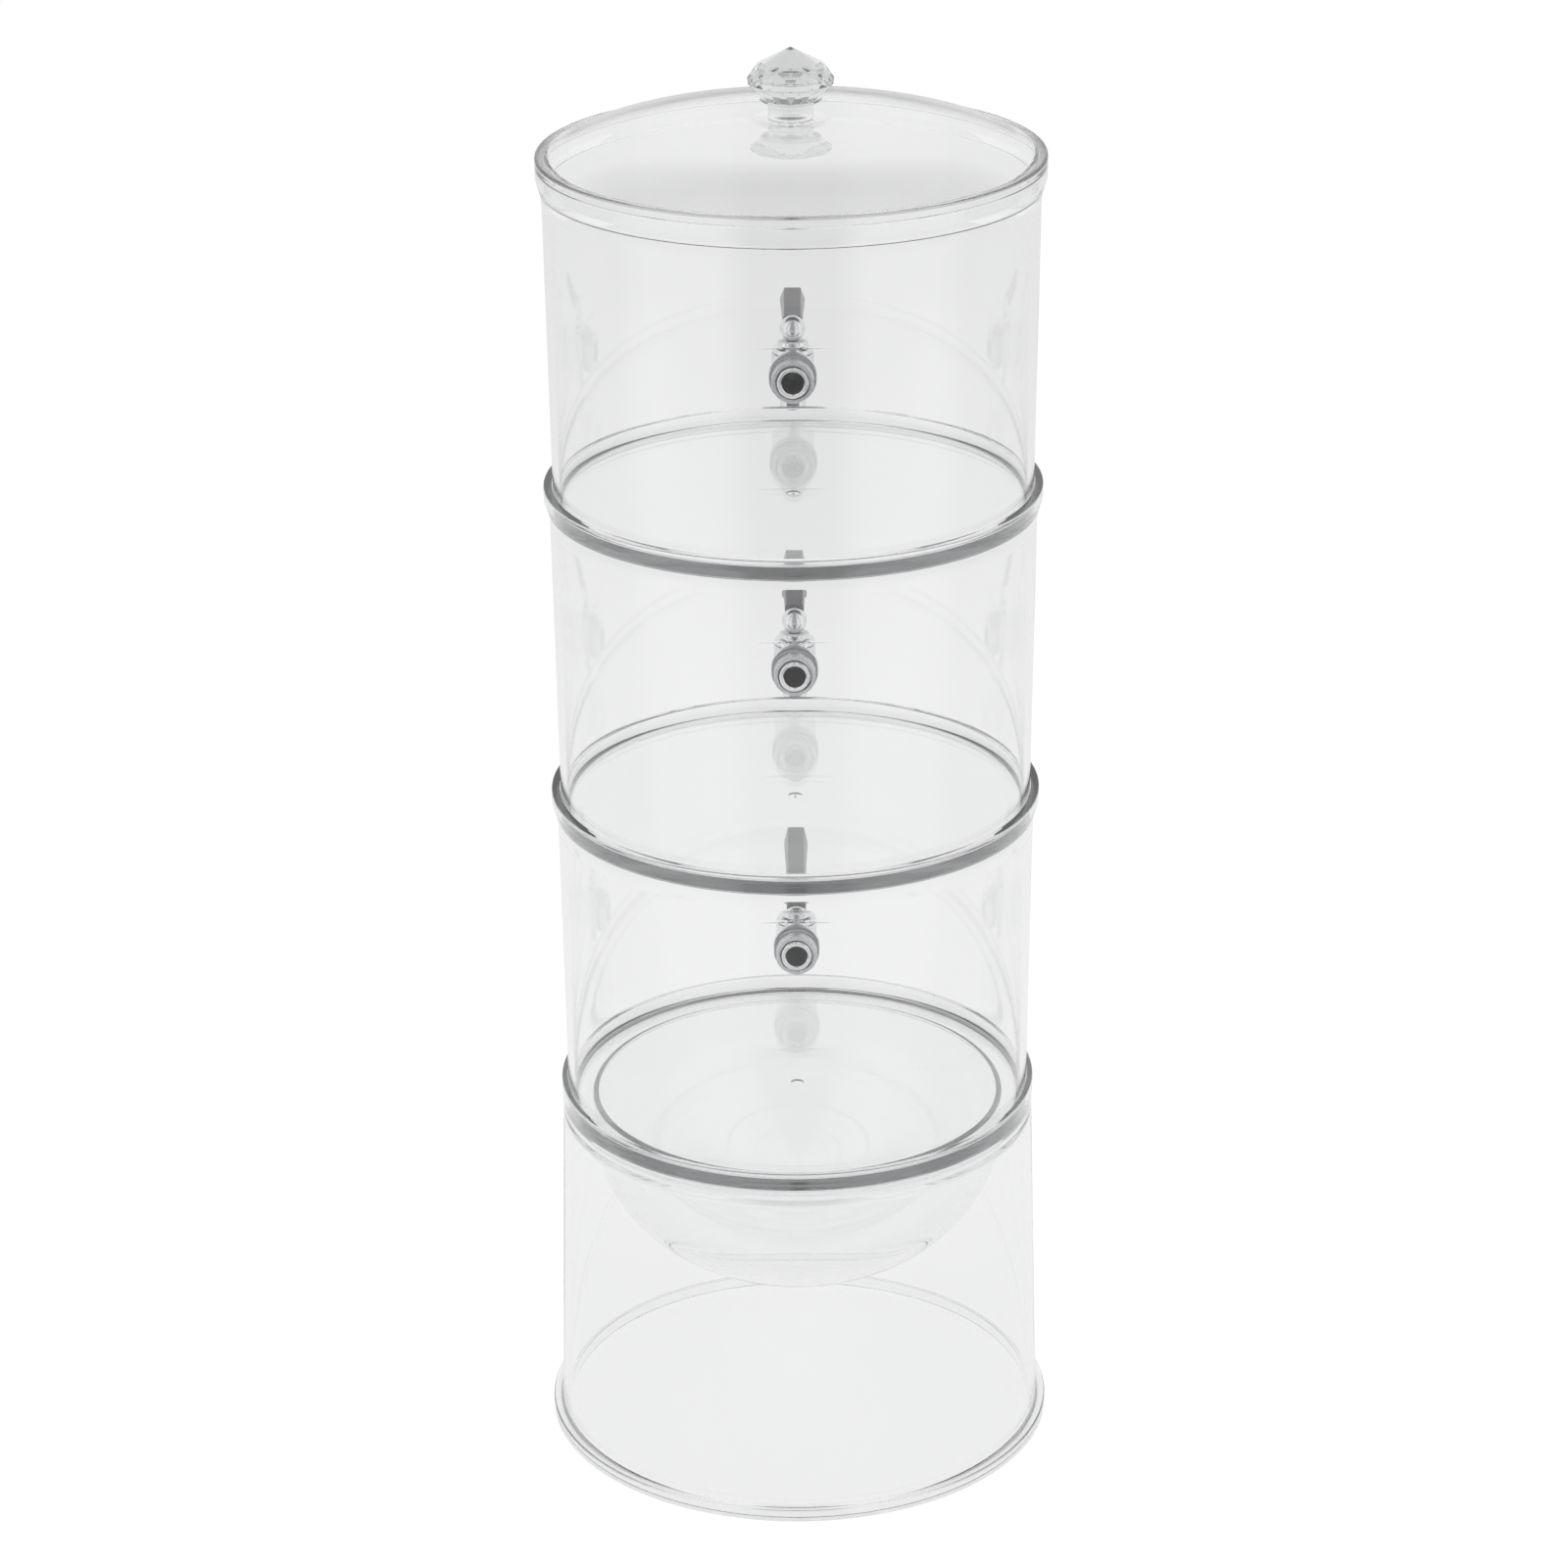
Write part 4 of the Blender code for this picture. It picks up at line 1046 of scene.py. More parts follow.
class DISPENSER_OT_tanks(bpy.types.Operator):
    """Turns the clear tank, cuts its flat and hole for the tap, and sets one on each tier"""

    bl_idname = "dispenser.tanks"
    bl_label = "Tanks"

    def execute(self, context):
        sizes = context.scene.dispenser_vessels
        seat = TANK_HEIGHT - SEAT_DEPTH
        outline = [
            (0, sizes.gate_depth),
            (GATE_MIDDLE_SHARES[0] * sizes.gate_radius, GATE_MIDDLE_SHARES[1] * sizes.gate_depth),
            (GATE_EDGE_SHARES[0] * sizes.gate_radius, GATE_EDGE_SHARES[1] * sizes.gate_depth, GATE_ROUND),
            (sizes.gate_radius, 0, THIN_ROUND),
            (TANK_FOOT_RADIUS, 0, sizes.edge_round),
            *lip(TANK_HEIGHT, TANK_TOP_RADIUS, LIP_OVERHANG, sizes),
            (MOUTH_RADIUS, seat, FINE_ROUND),
            (TANK_TOP_RADIUS - sizes.wall, seat, SEAT_FILLET),
            (TANK_FOOT_RADIUS - sizes.wall, FLOOR_TOP, sizes.floor_fillet),
            (0, FLOOR_TOP),
        ]
        item = turned("tank_pattern", outline, sizes.sides, clear_plastic())
        half_pad = math.sqrt((tank_radius_at(TAP_HEIGHT) - sizes.wall) ** 2 - FLAT_INNER ** 2)
        pad_back = FLAT_INNER + (FLAT_OUTER - FLAT_INNER) * PAD_SHARE
        flat_top = TAP_HEIGHT + FLAT_REACH
        pad = block("pad", (-half_pad, FLAT_INNER, FLOOR_TOP / 2), (half_pad, pad_back, flat_top))
        combine(item, pad, "UNION")
        cut_high = (2 * half_pad, TANK_TOP_RADIUS + sizes.wall, flat_top)
        combine(item, block("flat", (-2 * half_pad, FLAT_OUTER, -OVERRUN), cut_high), "DIFFERENCE")
        hole = disc(SHANK_RADIUS + FACE_GAP, FLAT_INNER - OVERRUN, FLAT_OUTER + OVERRUN)
        combine(item, turned_along("hole", hole, HOLE_SIDES, OUTWARD, (0, 0, TAP_HEIGHT)), "DIFFERENCE")
        dress(item, clear_plastic())
        for tier, label in enumerate(TIER_NAMES):
            tank = link_object("tank_" + label + "_moulded", item.data.copy())
            put_vessel(tank, "tier_" + label, "tank_" + label, rim_height(tier) - SEAT_DEPTH + FACE_GAP)
        drop(item)
        return {"FINISHED"}


def dome_curve(base_radius, base_height, start_radius):
    """Points of the dome from start_radius out to base_radius, closer together near the rim."""
    points = []
    for step in range(DOME_STEPS + 1):
        radius = start_radius + (base_radius - start_radius) * math.sqrt(step / DOME_STEPS)
        points.append((radius, base_height + dome_height(radius, base_radius)))
    return points


class DISPENSER_OT_lid(bpy.types.Operator):
    """Turns the clear domed lid with its skirt, flat rim and boss"""

    bl_idname = "dispenser.lid"
    bl_label = "Lid"

    def execute(self, context):
        sizes = context.scene.dispenser_vessels
        edge = sizes.edge_round
        rim = rim_height(len(TIER_NAMES))
        under = rim + FACE_GAP
        rim_radius = TANK_TOP_RADIUS + LIP_OVERHANG
        lid_round = LID_RIM_SHARE * sizes.rim_round
        skirt_end = rim - SEAT_DEPTH + LID_SKIRT_GAP
        skirt_inner = TANK_FOOT_RADIUS - sizes.lid_wall
        dome_base = LID_TOP + DOME_STEP
        dome_start, *dome = dome_curve(DOME_RADIUS, dome_base, BOSS_RADIUS)
        outline = [
            (0, BOSS_TOP - SOCKET_DEPTH), (SOCKET_RADIUS, BOSS_TOP - SOCKET_DEPTH),
            (SOCKET_RADIUS, BOSS_TOP, THIN_ROUND), (KNOB_NECK_RADIUS + BOSS_HEIGHT, BOSS_TOP, BOSS_FILLET),
            (*dome_start, DOME_FILLET), *dome,
            (DOME_RADIUS + DOME_STEP, LID_TOP, FINE_ROUND), (rim_radius, LID_TOP, lid_round),
            (rim_radius, under, sizes.rim_round), (TANK_FOOT_RADIUS, under, FINE_ROUND),
            (TANK_FOOT_RADIUS, skirt_end, edge), (skirt_inner, skirt_end, edge),
            (skirt_inner, under, SKIRT_FILLET),
            *reversed(dome_curve(DOME_RADIUS - sizes.lid_wall, dome_base - sizes.lid_wall, 0)),
        ]
        item = turned("lid_moulded", outline, sizes.sides, clear_plastic())
        dress(item, clear_plastic())
        put_vessel(item, "cover", "lid")
        return {"FINISHED"}


class DISPENSER_OT_knob(bpy.types.Operator):
    """Cuts the jewel knob and joins it to its turned neck and collar"""

    bl_idname = "dispenser.knob"
    bl_label = "Knob"

    def execute(self, context):
        sizes = context.scene.dispenser_knob
        low = KNOB_NECK_HEIGHT
        high = KNOB_NECK_HEIGHT + KNOB_COLLAR_HEIGHT
        outline = [
            (0, -SOCKET_DEPTH), (KNOB_SPIGOT_RADIUS, -SOCKET_DEPTH, FINE_ROUND),
            (KNOB_SPIGOT_RADIUS, 0, CRISP_ROUND), (KNOB_NECK_RADIUS, 0, FINE_ROUND),
            (KNOB_NECK_RADIUS, low, SMALL_ROUND), (KNOB_COLLAR_RADIUS, low, COLLAR_ROUND),
            (KNOB_COLLAR_RADIUS, high, COLLAR_ROUND), (0, high),
        ]
        item = turned("knob_cut", outline, KNOB_SIDES, clear_plastic())
        stone = link_object("stone", bpy.data.meshes.new("stone"))
        run_tree(stone, jewel_tree(), {
            "Facets": sizes.facets,
            "Collar Radius": KNOB_COLLAR_RADIUS, "Collar Height": high - KNOB_COLLAR_HEIGHT / 2,
            "Girdle Radius": KNOB_GIRDLE_RADIUS, "Girdle Low": KNOB_GIRDLE_HEIGHT - KNOB_GIRDLE_BAND,
            "Girdle High": KNOB_GIRDLE_HEIGHT, "Crown Radius": KNOB_CROWN_RADIUS,
            "Crown Height": KNOB_CROWN_HEIGHT, "Tip Height": KNOB_TIP_HEIGHT, "Finish": clear_plastic()})
        face_outwards(stone.data)
        round_edges(stone, sizes.edge_round, segments=2, least_bend=3)
        combine(item, stone, "UNION")
        dress(item, clear_plastic(), KNOB_SHARP_ANGLE)
        flatten_facets(item)
        put_vessel(item, "cover", "lid_knob", BOSS_TOP + FACE_GAP)
        return {"FINISHED"}


# Tap pieces. Each is modelled about the crossing of the tap's two axes, and a lever about its pin.

def set_on_tiers(item, piece, suffix):
    """Puts a copy of a tap piece on each tier."""
    for tier, label in enumerate(TIER_NAMES):
        copy = link_object(piece + "_" + label + suffix, item.data.copy())
        put(copy, "tier_" + label, piece + "_" + label, tap_place(tier))
    drop(item)


def threaded_shank(sizes, low, high):
    """The shank with a real helical thread, its axis along Z."""
    root = SHANK_RADIUS - sizes.thread_depth
    steps = math.ceil((high - low) / sizes.thread_pitch * THREAD_STEPS)
    crests = [(SHANK_RADIUS, low + (high - low) * step / steps) for step in range(1, steps)]
    item = turned("shank", [(0, low), (root, low), *crests, (root, high), (0, high)], sizes.sides)
    run_tree(item, thread_tree(), {
        "Crest Radius": SHANK_RADIUS, "Pitch": sizes.thread_pitch,
        "Depth": sizes.thread_depth, "Finish": polished_chrome()})
    return item


class DISPENSER_OT_tap_bodies(bpy.types.Operator):
    """Builds the plated tap body: threaded shank, flange, neck, barrel, spout and bores"""

    bl_idname = "dispenser.tap_bodies"
    bl_label = "Tap bodies"

    def execute(self, context):
        sizes = context.scene.dispenser_tap
        edge = sizes.edge_round
        barrel = [
            (0, SPOUT_END), (SPOUT_RADIUS, SPOUT_END, edge),
            (SPOUT_RADIUS, BARREL_BOTTOM - SPOUT_SHOULDER, SPOUT_FILLET),
            (BARREL_RADIUS, BARREL_BOTTOM, BARREL_ROUND), (BARREL_RADIUS, BARREL_TOP, edge), (0, BARREL_TOP),
        ]
        item = turned("tap_body_pattern", barrel, sizes.sides, polished_chrome())
        flange_low = FLANGE_FACE - TAP_OUT
        flange_high = flange_low + CLAMP_FLANGE
        foot_radius = NECK_RADIUS + NECK_FILLET
        neck = [
            (0, flange_low + edge), (foot_radius, flange_low + edge), (foot_radius, flange_high, CRISP_ROUND),
            (NECK_RADIUS, flange_high + NECK_FILLET, NECK_FILLET), (NECK_RADIUS, 0), (0, 0),
        ]
        combine(item, turned_along("neck", neck, sizes.sides, OUTWARD), "UNION")
        shank_start = SHANK_END - TAP_OUT
        shank = threaded_shank(sizes, shank_start, flange_low + CLAMP_FLANGE / 2)
        shank.data.transform(Matrix.Rotation(-math.pi / 2, 4, "X"))
        combine(item, shank, "UNION")
        flange = disc(CLAMP_FLANGE_RADIUS, flange_low, flange_high, SMALL_ROUND)
        combine(item, turned_along("flange", flange, sizes.sides, OUTWARD), "UNION")
        cavity = [
            *mouth(SPOUT_BORE_RADIUS, SPOUT_END, SPOUT_CHAMFER),
            (SPOUT_BORE_RADIUS, VALVE_SEAT, FINE_ROUND), (CAVITY_RADIUS, VALVE_SEAT),
            (CAVITY_RADIUS, BARREL_TOP + OVERRUN), (0, BARREL_TOP + OVERRUN),
        ]
        combine(item, turned("cavity", cavity, sizes.sides), "DIFFERENCE")
        bore = [*mouth(SHANK_BORE_RADIUS, shank_start, BORE_CHAMFER), (SHANK_BORE_RADIUS, 0), (0, 0)]
        combine(item, turned_along("bore", bore, sizes.sides, OUTWARD), "DIFFERENCE")
        dress(item, polished_chrome())
        set_on_tiers(item, "tap_body", "_plated")
        return {"FINISHED"}


class DISPENSER_OT_washers(bpy.types.Operator):
    """Turns the soft washers on both sides of each tank's wall"""

    bl_idname = "dispenser.washers"
    bl_label = "Washers"

    def execute(self, context):
        sizes = context.scene.dispenser_tap
        inner = SHANK_RADIUS + FACE_GAP
        for piece, face in (("outer_washer", FLANGE_FACE - FACE_GAP), ("inner_washer", INNER_WASHER_FACE)):
            low = face - TAP_OUT - WASHER_THICKNESS
            high = face - TAP_OUT
            outline = [
                (inner, low, THIN_ROUND), (WASHER_RADIUS, low, SMALL_ROUND),
                (WASHER_RADIUS, high, SMALL_ROUND), (inner, high, THIN_ROUND),
            ]
            item = turned_along(piece, outline, sizes.sides, OUTWARD, closed=True)
            dress(item, milky_silicone())
            set_on_tiers(item, piece, "_soft")
        return {"FINISHED"}


class DISPENSER_OT_lock_nuts(bpy.types.Operator):
    """Builds the hexagon nuts with turned corners and a chamfered bore"""

    bl_idname = "dispenser.lock_nuts"
    bl_label = "Lock nuts"

    def execute(self, context):
        sizes = context.scene.dispenser_tap
        corner = NUT_ACROSS_FLATS / math.sqrt(3)
        face = NUT_FACE - TAP_OUT
        start = face - NUT_THICKNESS
        corners = []
        for index, height in product(range(6), (start, face)):
            angle = math.tau * (index + 0.5) / 6 - math.pi / 3
            corners.append((corner * math.cos(angle), height, corner * math.sin(angle)))
        item = hull_of("nut", corners)
        turn = [
            (0, start), (sizes.nut_turn - NUT_CORNER_WIDTH, start),
            (sizes.nut_turn, start + NUT_CORNER_HEIGHT), (sizes.nut_turn, face), (0, face),
        ]
        combine(item, turned_along("turn", turn, sizes.sides, OUTWARD), "INTERSECT")
        inner = SHANK_RADIUS + FACE_GAP
        hole = [*mouth(inner, start, NUT_BORE_CHAMFER), (inner, face + OVERRUN), (0, face + OVERRUN)]
        combine(item, turned_along("hole", hole, sizes.sides, OUTWARD), "DIFFERENCE")
        dress(item, turned_nickel(), NUT_SHARP_ANGLE)
        set_on_tiers(item, "lock_nut", "_turned")
        return {"FINISHED"}


class DISPENSER_OT_bonnets(bpy.types.Operator):
    """Turns the bright caps that close the barrels and hold the levers"""

    bl_idname = "dispenser.bonnets"
    bl_label = "Bonnets"

    def execute(self, context):
        sizes = context.scene.dispenser_tap
        seat = BARREL_TOP + FACE_GAP
        base = BARREL_TOP - BONNET_PLUG
        rod = ROD_RADIUS + FACE_GAP
        plug_radius = CAVITY_RADIUS - FACE_GAP
        outline = [
            (rod, base), (plug_radius, base, FINE_ROUND),
            (plug_radius, seat, CRISP_ROUND), (BONNET_SKIRT_RADIUS, seat, THIN_ROUND),
        ]
        skirt_top = seat + BONNET_SKIRT_HEIGHT
        collar_low = BONNET_TOP - BONNET_COLLAR_HEIGHT
        for up_share, in_share in SHOULDER_SHARES:
            radius = BONNET_SKIRT_RADIUS + (BONNET_COLLAR_RADIUS - BONNET_SKIRT_RADIUS) * in_share
            outline.append((radius, skirt_top + (collar_low - skirt_top) * up_share, BONNET_ROUND))
        high_top = BONNET_TOP + sizes.bonnet_rise
        outline += [(BONNET_COLLAR_RADIUS, high_top + OVERRUN), (rod, high_top + OVERRUN)]
        item = turned("bonnet_pattern", outline, sizes.sides, polished_chrome(), closed=True)
        slope = math.atan2(sizes.bonnet_rise, 2 * BONNET_COLLAR_RADIUS)
        slant = block("slant", (-SLANT_REACH, -SLANT_REACH, 0), (SLANT_REACH,) * 3)
        lift = Matrix.Translation((0, 0, (BONNET_TOP + high_top) / 2))
        slant.data.transform(lift @ Matrix.Rotation(-slope, 4, "X"))
        combine(item, slant, "DIFFERENCE")
        half_slot = HUB_HALF_WIDTH + FACE_GAP
        slot_low = (-half_slot, -ROD_HEAD_RADIUS - 2 * FACE_GAP, base + BONNET_FLOOR)
        slot_high = (half_slot, BONNET_WELL_RADIUS - FACE_GAP, high_top + 2 * OVERRUN)
        combine(item, block("slot", slot_low, slot_high), "DIFFERENCE")
        hole = disc(PIN_RADIUS + FACE_GAP, -BARREL_RADIUS - OVERRUN, BARREL_RADIUS + OVERRUN)
        pin_hole = turned_along("pin_hole", hole, PIN_SIDES, ACROSS, (0, PIVOT_OFFSET, PIVOT_HEIGHT))
        combine(item, pin_hole, "DIFFERENCE")
        dress(item, bonnet_chrome())
        set_on_tiers(item, "bonnet", "_plated")
        return {"FINISHED"}


def stem_direction(lean):
    """The way a lever's stem points when it leans outwards from upright."""
    return Vector((0, math.sin(lean), math.cos(lean)))


def ball_and_stem():
    """Outline of a lever's ball, with its stem along the axis."""
    leaves = math.acos((STEM_RADIUS + STEM_FILLET) / BALL_RADIUS)
    stem_end = GRIP_START + STEM_IN_GRIP
    outline = []
    for step in range(BALL_STEPS + 1):
        angle = -math.pi / 2 + (math.pi / 2 + leaves) * step / BALL_STEPS
        outline.append((max(BALL_RADIUS * math.cos(angle), 0), BALL_RADIUS * math.sin(angle)))
    outline.append((STEM_RADIUS, outline[-1][1] + STEM_FILLET, STEM_FILLET))
    return outline + [(STEM_RADIUS, stem_end, FINE_ROUND), (0, stem_end)]


class DISPENSER_OT_levers(bpy.types.Operator):
    """Builds each lever: ball with its stem, blade, hub and forked toe"""

    bl_idname = "dispenser.levers"
    bl_label = "Levers"

    def execute(self, context):
        sides = context.scene.dispenser_tap.sides
        half_slot = ROD_RADIUS + ROD_SLOT_GAP
        for tier, label in enumerate(TIER_NAMES):
            direction = stem_direction(LEVER_LEANS[tier])
            item = turned_along("lever", ball_and_stem(), sides, direction, BALL_CENTRE)
            blade_low = (-BLADE_HALF_WIDTH, BLADE_INNER, 0)
            combine(item, block("blade", blade_low, (BLADE_HALF_WIDTH, BLADE_OUTER, BLADE_TOP)), "UNION")
            hub = disc(HUB_RADIUS, -HUB_HALF_WIDTH, HUB_HALF_WIDTH, FINE_ROUND)
            combine(item, turned_along("hub", hub, HUB_SIDES, ACROSS), "UNION")
            toe_low = (-HUB_HALF_WIDTH, -TOE_LENGTH, -TOE_HALF_THICKNESS)
            combine(item, block("toe", toe_low, (HUB_HALF_WIDTH, 0, TOE_HALF_THICKNESS)), "UNION")
            slot_low = (-half_slot, -TOE_LENGTH - OVERRUN, -HUB_RADIUS)
            slot_high = (half_slot, -PIVOT_OFFSET + half_slot, HUB_RADIUS)
            combine(item, block("slot", slot_low, slot_high), "DIFFERENCE")
            hole = disc(PIN_RADIUS + FACE_GAP, -HUB_HALF_WIDTH - OVERRUN, HUB_HALF_WIDTH + OVERRUN)
            combine(item, turned_along("hole", hole, PIN_SIDES, ACROSS), "DIFFERENCE")
            dress(item, polished_chrome())
            item.name = "lever_" + label + "_plated"
            put(item, "tap_lever_" + label, "lever_" + label, pivot_place(tier))
        return {"FINISHED"}


def paddle(name, along):
    """A tapering bar with bevelled long edges that runs along `along` from near the ball's centre."""
    sections = (
        (GRIP_START, GRIP_ROOT_WIDTH, GRIP_ROOT_BEVEL),
        (LEVER_LENGTH - GRIP_SHOULDER, GRIP_WIDTH, GRIP_BEVEL),
        (LEVER_LENGTH, GRIP_TIP_WIDTH, GRIP_TIP_BEVEL),
    )
    half_thick = GRIP_THICKNESS / 2
    side = Vector(ACROSS)
    up = side.cross(along)
    tool = bmesh.new()
    loops = []
    for distance, width, bevel in sections:
        half = width / 2
        corners = ((half, half_thick - bevel), (half - bevel, half_thick))
        profile = [*corners, *[(-x, y) for x, y in reversed(corners)]]
        profile += [(-x, -y) for x, y in profile]
        centre = BALL_CENTRE + along * distance
        loops.append([tool.verts.new(centre + side * x + up * y) for x, y in profile])
    for low, high in zip(loops, loops[1:]):
        for index in range(len(low)):
            after = (index + 1) % len(low)
            tool.faces.new((low[index], low[after], high[after], high[index]))
    tool.faces.new(loops[0])
    tool.faces.new(loops[-1])
    return link_object(name, mesh_from(tool, "grip"))


class DISPENSER_OT_grips(bpy.types.Operator):
    """Builds each dark grip: a tapering paddle with bevelled long edges"""

    bl_idname = "dispenser.grips"
    bl_label = "Grips"

    def execute(self, context):
        sizes = context.scene.dispenser_tap
        for tier, label in enumerate(TIER_NAMES):
            along = stem_direction(LEVER_LEANS[tier])
            item = paddle("lever_grip_" + label + "_satin", along)
            face_outwards(item.data)
            round_edges(item, sizes.grip_round, segments=3, least_bend=10)
            socket_end = GRIP_START + STEM_IN_GRIP + FACE_GAP
            socket = disc(STEM_RADIUS + FACE_GAP, GRIP_START - OVERRUN, socket_end)
            combine(item, turned_along("socket", socket, HUB_SIDES, along, BALL_CENTRE), "DIFFERENCE")
            dress(item, satin_grip(), GRIP_SHARP_ANGLE)
            flatten_facets(item)
            put(item, "tap_lever_" + label, "lever_grip_" + label, pivot_place(tier))
        return {"FINISHED"}


class DISPENSER_OT_inner_pieces(bpy.types.Operator):
    """Gives the pins, rods, cups and springs inside the taps their finishes"""

    bl_idname = "dispenser.inner_pieces"
    bl_label = "Pins, rods, cups and springs"

    def execute(self, context):
        for label in TIER_NAMES:
            for piece in ("lever_pin", "plunger", "valve_spring"):
                set_finish(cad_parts[piece + "_" + label].data, drawn_steel())
            set_finish(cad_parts["valve_cup_" + label].data, milky_silicone())
            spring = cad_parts["valve_spring_" + label]
            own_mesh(spring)
        return {"FINISHED"}


# Stage. A sky edge is an angle from the front or a share of the way up, and a floor edge is in metres.
FRONT_SKY_EDGE = (0.32, 0.5)
BACK_SKY_EDGE = (1.45, 1.75)
HIGH_SKY_EDGE = (0.48, 0.78)
SIDE_FLOOR_SHARES = (0.36, 0.7)
FAR_FRONT_EDGE = (0.4, 1.7)
FAR_BACK_EDGE = (0.2, 1.8)
FRONT_FLOOR_EDGE = (-0.45, -0.25)
LEAST_FORWARD = 0.05
FLOOR_SEGMENTS = 96
SIDE_LAMP = {"size": (0.9, 1.6), "out": 1.7, "place": (-0.5, 0.9)}
TOP_LAMP = {"size": (1.4, 1.4), "out": 0.0, "place": (0.2, 2.4)}
SENSOR_WIDTH = 36.0
VIEW_END = 60.0
LIGHT_BOUNCES = 40


def studio_world(stage):
    """White to the camera. Metal and glass see a pale backdrop, bright sides and a darker room in front."""
    world = bpy.data.worlds.new("studio")
    world.use_nodes = True
    tree = world.node_tree
    coordinates = tree.nodes.new("ShaderNodeTexCoord").outputs["Generated"]
    x, y, z = split(tree, coordinates)
    toward = add_math(tree, "MULTIPLY", y, -1.0)
    from_front = add_math(tree, "ARCTAN2", add_math(tree, "ABSOLUTE", x), toward)
    beside = add_range(tree, from_front, FRONT_SKY_EDGE)
    behind = add_range(tree, from_front, BACK_SKY_EDGE)
    backdrop = add_range(tree, z, HIGH_SKY_EDGE, (stage.seen_white, stage.high_white))
    bright = add_mix(tree, behind, add_mix(tree, beside, stage.dark_room, stage.side_white), backdrop)
    path = tree.nodes.new("ShaderNodeLightPath").outputs
    plain = add_mix(tree, path["Is Diffuse Ray"], bright, stage.room)
    background = tree.nodes["Background"].inputs
    feed(tree, background["Strength"], add_mix(tree, path["Is Camera Ray"], plain, 1.0))
    feed(tree, background["Color"], WHITE)
    bpy.context.scene.world = world


@made_once("materials", "floor_pale")
def floor_finish(name):
    """Pale floor, white to the camera and uneven to metal and glass, that keeps a shadow."""
    stage = bpy.context.scene.dispenser_stage
    tree, shader, coordinates, _ = new_finish(name)
    feed(tree, shader["Roughness"], 0.9)
    feed(tree, shader["Specular IOR Level"], 0.0)
    feed(tree, shader["Emission Color"], WHITE)
    x, y, _ = split(tree, coordinates)
    toward = add_math(tree, "MAXIMUM", add_math(tree, "MULTIPLY", y, -1.0), LEAST_FORWARD)
    sideways = add_math(tree, "DIVIDE", add_math(tree, "ABSOLUTE", x), toward)
    beside = add_range(tree, sideways, SIDE_FLOOR_SHARES)
    middle = add_range(tree, toward, FAR_FRONT_EDGE, (stage.floor_side, stage.floor_front))
    ahead = add_mix(tree, beside, middle, stage.floor_side)
    beyond = add_range(tree, y, FAR_BACK_EDGE, (stage.floor_near, stage.floor_bent))
    in_front = add_range(tree, y, FRONT_FLOOR_EDGE, (1.0, 0.0))
    uneven = add_mix(tree, in_front, beyond, ahead)
    path = tree.nodes.new("ShaderNodeLightPath").outputs
    bent = add_math(tree, "MAXIMUM", path["Is Glossy Ray"], path["Is Transmission Ray"])
    seen = add_math(tree, "MAXIMUM", path["Is Camera Ray"], bent)
    feed(tree, shader["Base Color"], add_colour_mix(tree, seen, stage.floor, (stage.floor_shade,) * 3))
    white = add_mix(tree, bent, stage.floor_white, uneven)
    feed(tree, shader["Emission Strength"], add_math(tree, "MULTIPLY", seen, white))


def add_lamp(name, side, kind, power):
    """A soft box that gives plain light and isn't seen, mirrored or refracted."""
    lamp = bpy.data.lights.new(name, "AREA")
    lamp.shape = "RECTANGLE"
    lamp.size, lamp.size_y = kind["size"]
    lamp.energy = power
    item = link_object(name, lamp)
    item.location = (side * kind["out"], *kind["place"])
    to_middle = Vector((0, AXIS_Y, CAD_BOX[1].z / 2)) - item.location
    item.rotation_euler = to_middle.to_track_quat("-Z", "Y").to_euler()
    item.visible_camera = False
    item.visible_glossy = False
    item.visible_transmission = False


class DISPENSER_OT_stage(bpy.types.Operator):
    """Lays the pale floor and sets the lamps, the world and the camera"""

    bl_idname = "dispenser.stage"
    bl_label = "Stage"

    def execute(self, context):
        stage = context.scene.dispenser_stage
        tool = bmesh.new()
        bmesh.ops.create_circle(tool, cap_ends=True, segments=FLOOR_SEGMENTS, radius=stage.floor_radius)
        floor = link_object("floor", mesh_from(tool, "floor"))
        set_finish(floor.data, floor_finish())
        add_lamp("lamp_left", -1, SIDE_LAMP, stage.side_power)
        add_lamp("lamp_right", 1, SIDE_LAMP, stage.side_power)
        add_lamp("lamp_top", 0, TOP_LAMP, stage.top_power)
        studio_world(stage)
        self.set_camera(context, stage)
        self.set_bounces(context)
        return {"FINISHED"}

    def set_camera(self, context, stage):
        pitch = stage.camera_pitch
        yaw = stage.camera_yaw
        roll = stage.camera_roll
        forward = Vector((math.sin(yaw) * math.cos(pitch), math.cos(yaw) * math.cos(pitch), -math.sin(pitch)))
        right = Vector((math.cos(yaw), -math.sin(yaw), 0))
        up = right.cross(forward)
        across = right * math.cos(roll) + up * math.sin(roll)
        upward = up * math.cos(roll) - right * math.sin(roll)
        camera = bpy.data.cameras.new("camera")
        camera.lens = stage.lens
        camera.sensor_width = SENSOR_WIDTH
        camera.clip_end = VIEW_END
        item = link_object("camera", camera)
        turn = Matrix((across, upward, -forward)).transposed().to_4x4()
        item.matrix_world = Matrix.Translation(stage.camera_place) @ turn
        context.scene.camera = item
        context.scene.view_settings.view_transform = "Standard"

    def set_bounces(self, context):
        """Light runs to and fro in the clear walls many times."""
        cycles = context.scene.cycles
        cycles.max_bounces = LIGHT_BOUNCES
        cycles.glossy_bounces = LIGHT_BOUNCES
        cycles.transmission_bounces = LIGHT_BOUNCES
        cycles.transparent_max_bounces = LIGHT_BOUNCES
        cycles.caustics_reflective = True
        cycles.caustics_refractive = True


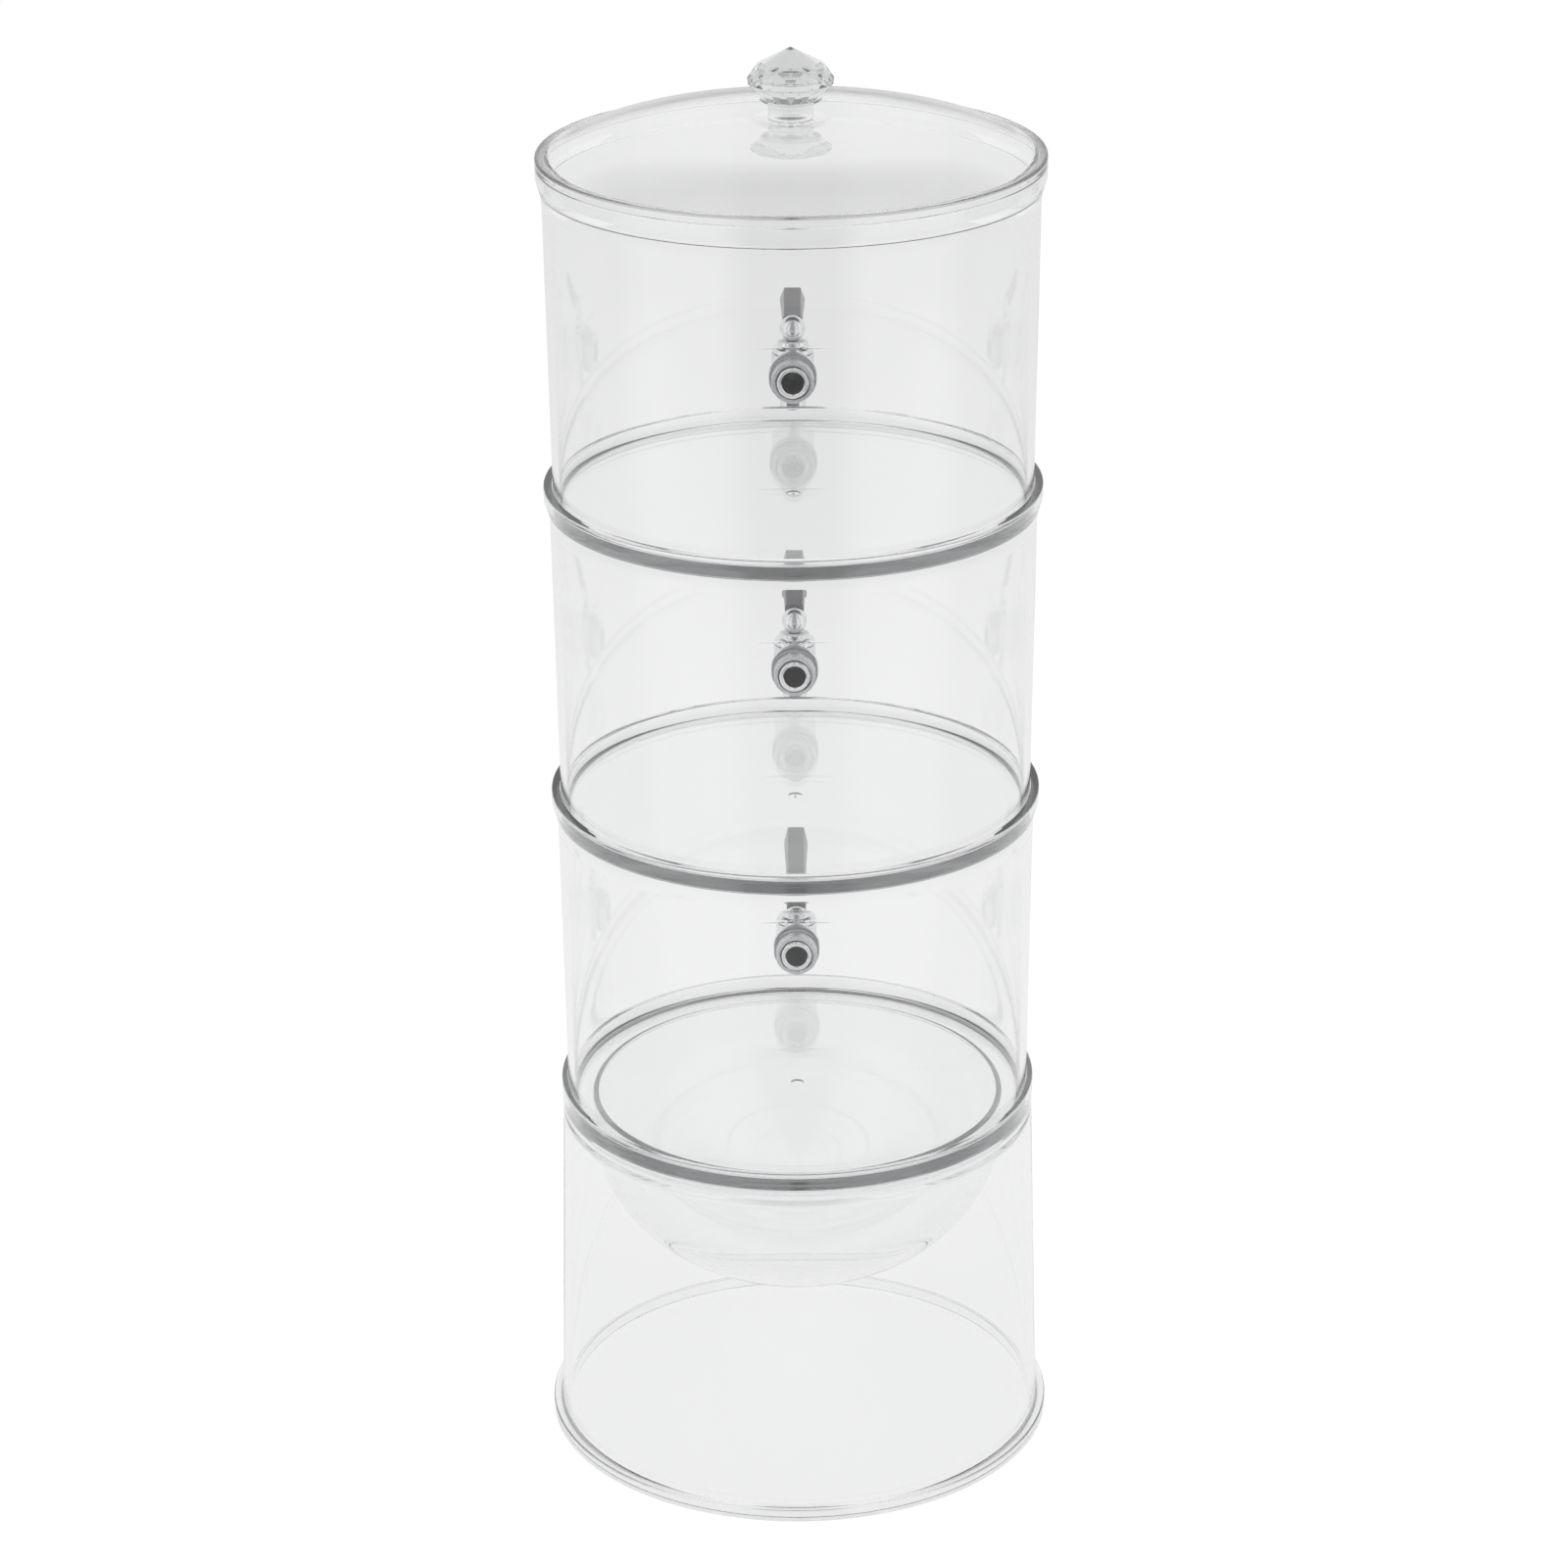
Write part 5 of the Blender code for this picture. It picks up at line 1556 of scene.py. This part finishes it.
OPERATORS = (
    DISPENSER_OT_pedestal,
    DISPENSER_OT_ice_bowl,
    DISPENSER_OT_tanks,
    DISPENSER_OT_lid,
    DISPENSER_OT_knob,
    DISPENSER_OT_tap_bodies,
    DISPENSER_OT_washers,
    DISPENSER_OT_lock_nuts,
    DISPENSER_OT_bonnets,
    DISPENSER_OT_levers,
    DISPENSER_OT_grips,
    DISPENSER_OT_inner_pieces,
    DISPENSER_OT_stage,
)
GROUPS = (
    ("dispenser_vessels", "Vessels", DispenserVessels),
    ("dispenser_knob", "Knob", DispenserKnob),
    ("dispenser_tap", "Taps", DispenserTap),
    ("dispenser_finishes", "Finishes", DispenserFinishes),
    ("dispenser_stage", "Stage", DispenserStage),
)


class DISPENSER_PT_pieces(bpy.types.Panel):
    """The dispenser's sizes, finishes and pieces"""

    bl_idname = "DISPENSER_PT_pieces"
    bl_label = "Beverage Dispenser"
    bl_space_type = "VIEW_3D"
    bl_region_type = "UI"
    bl_category = "Dispenser"

    def draw(self, context):
        for name, title, group in GROUPS:
            box = self.layout.box()
            box.label(text=title)
            for setting in group.__annotations__:
                box.prop(getattr(context.scene, name), setting)
        for operator in OPERATORS:
            self.layout.operator(operator.bl_idname)


def register():
    for name, _, group in GROUPS:
        bpy.utils.register_class(group)
        setattr(bpy.types.Scene, name, PointerProperty(type=group))
    for operator in OPERATORS:
        bpy.utils.register_class(operator)
    bpy.utils.register_class(DISPENSER_PT_pieces)


def unregister():
    bpy.utils.unregister_class(DISPENSER_PT_pieces)
    for operator in reversed(OPERATORS):
        bpy.utils.unregister_class(operator)
    for name, _, group in reversed(GROUPS):
        delattr(bpy.types.Scene, name)
        bpy.utils.unregister_class(group)


def main():
    register()
    bpy.ops.dispenser.pedestal()
    bpy.ops.dispenser.ice_bowl()
    bpy.ops.dispenser.tanks()
    bpy.ops.dispenser.lid()
    bpy.ops.dispenser.knob()
    bpy.ops.dispenser.tap_bodies()
    bpy.ops.dispenser.washers()
    bpy.ops.dispenser.lock_nuts()
    bpy.ops.dispenser.bonnets()
    bpy.ops.dispenser.levers()
    bpy.ops.dispenser.grips()
    bpy.ops.dispenser.inner_pieces()
    bpy.ops.dispenser.stage()


if __name__ == "__main__":
    main()
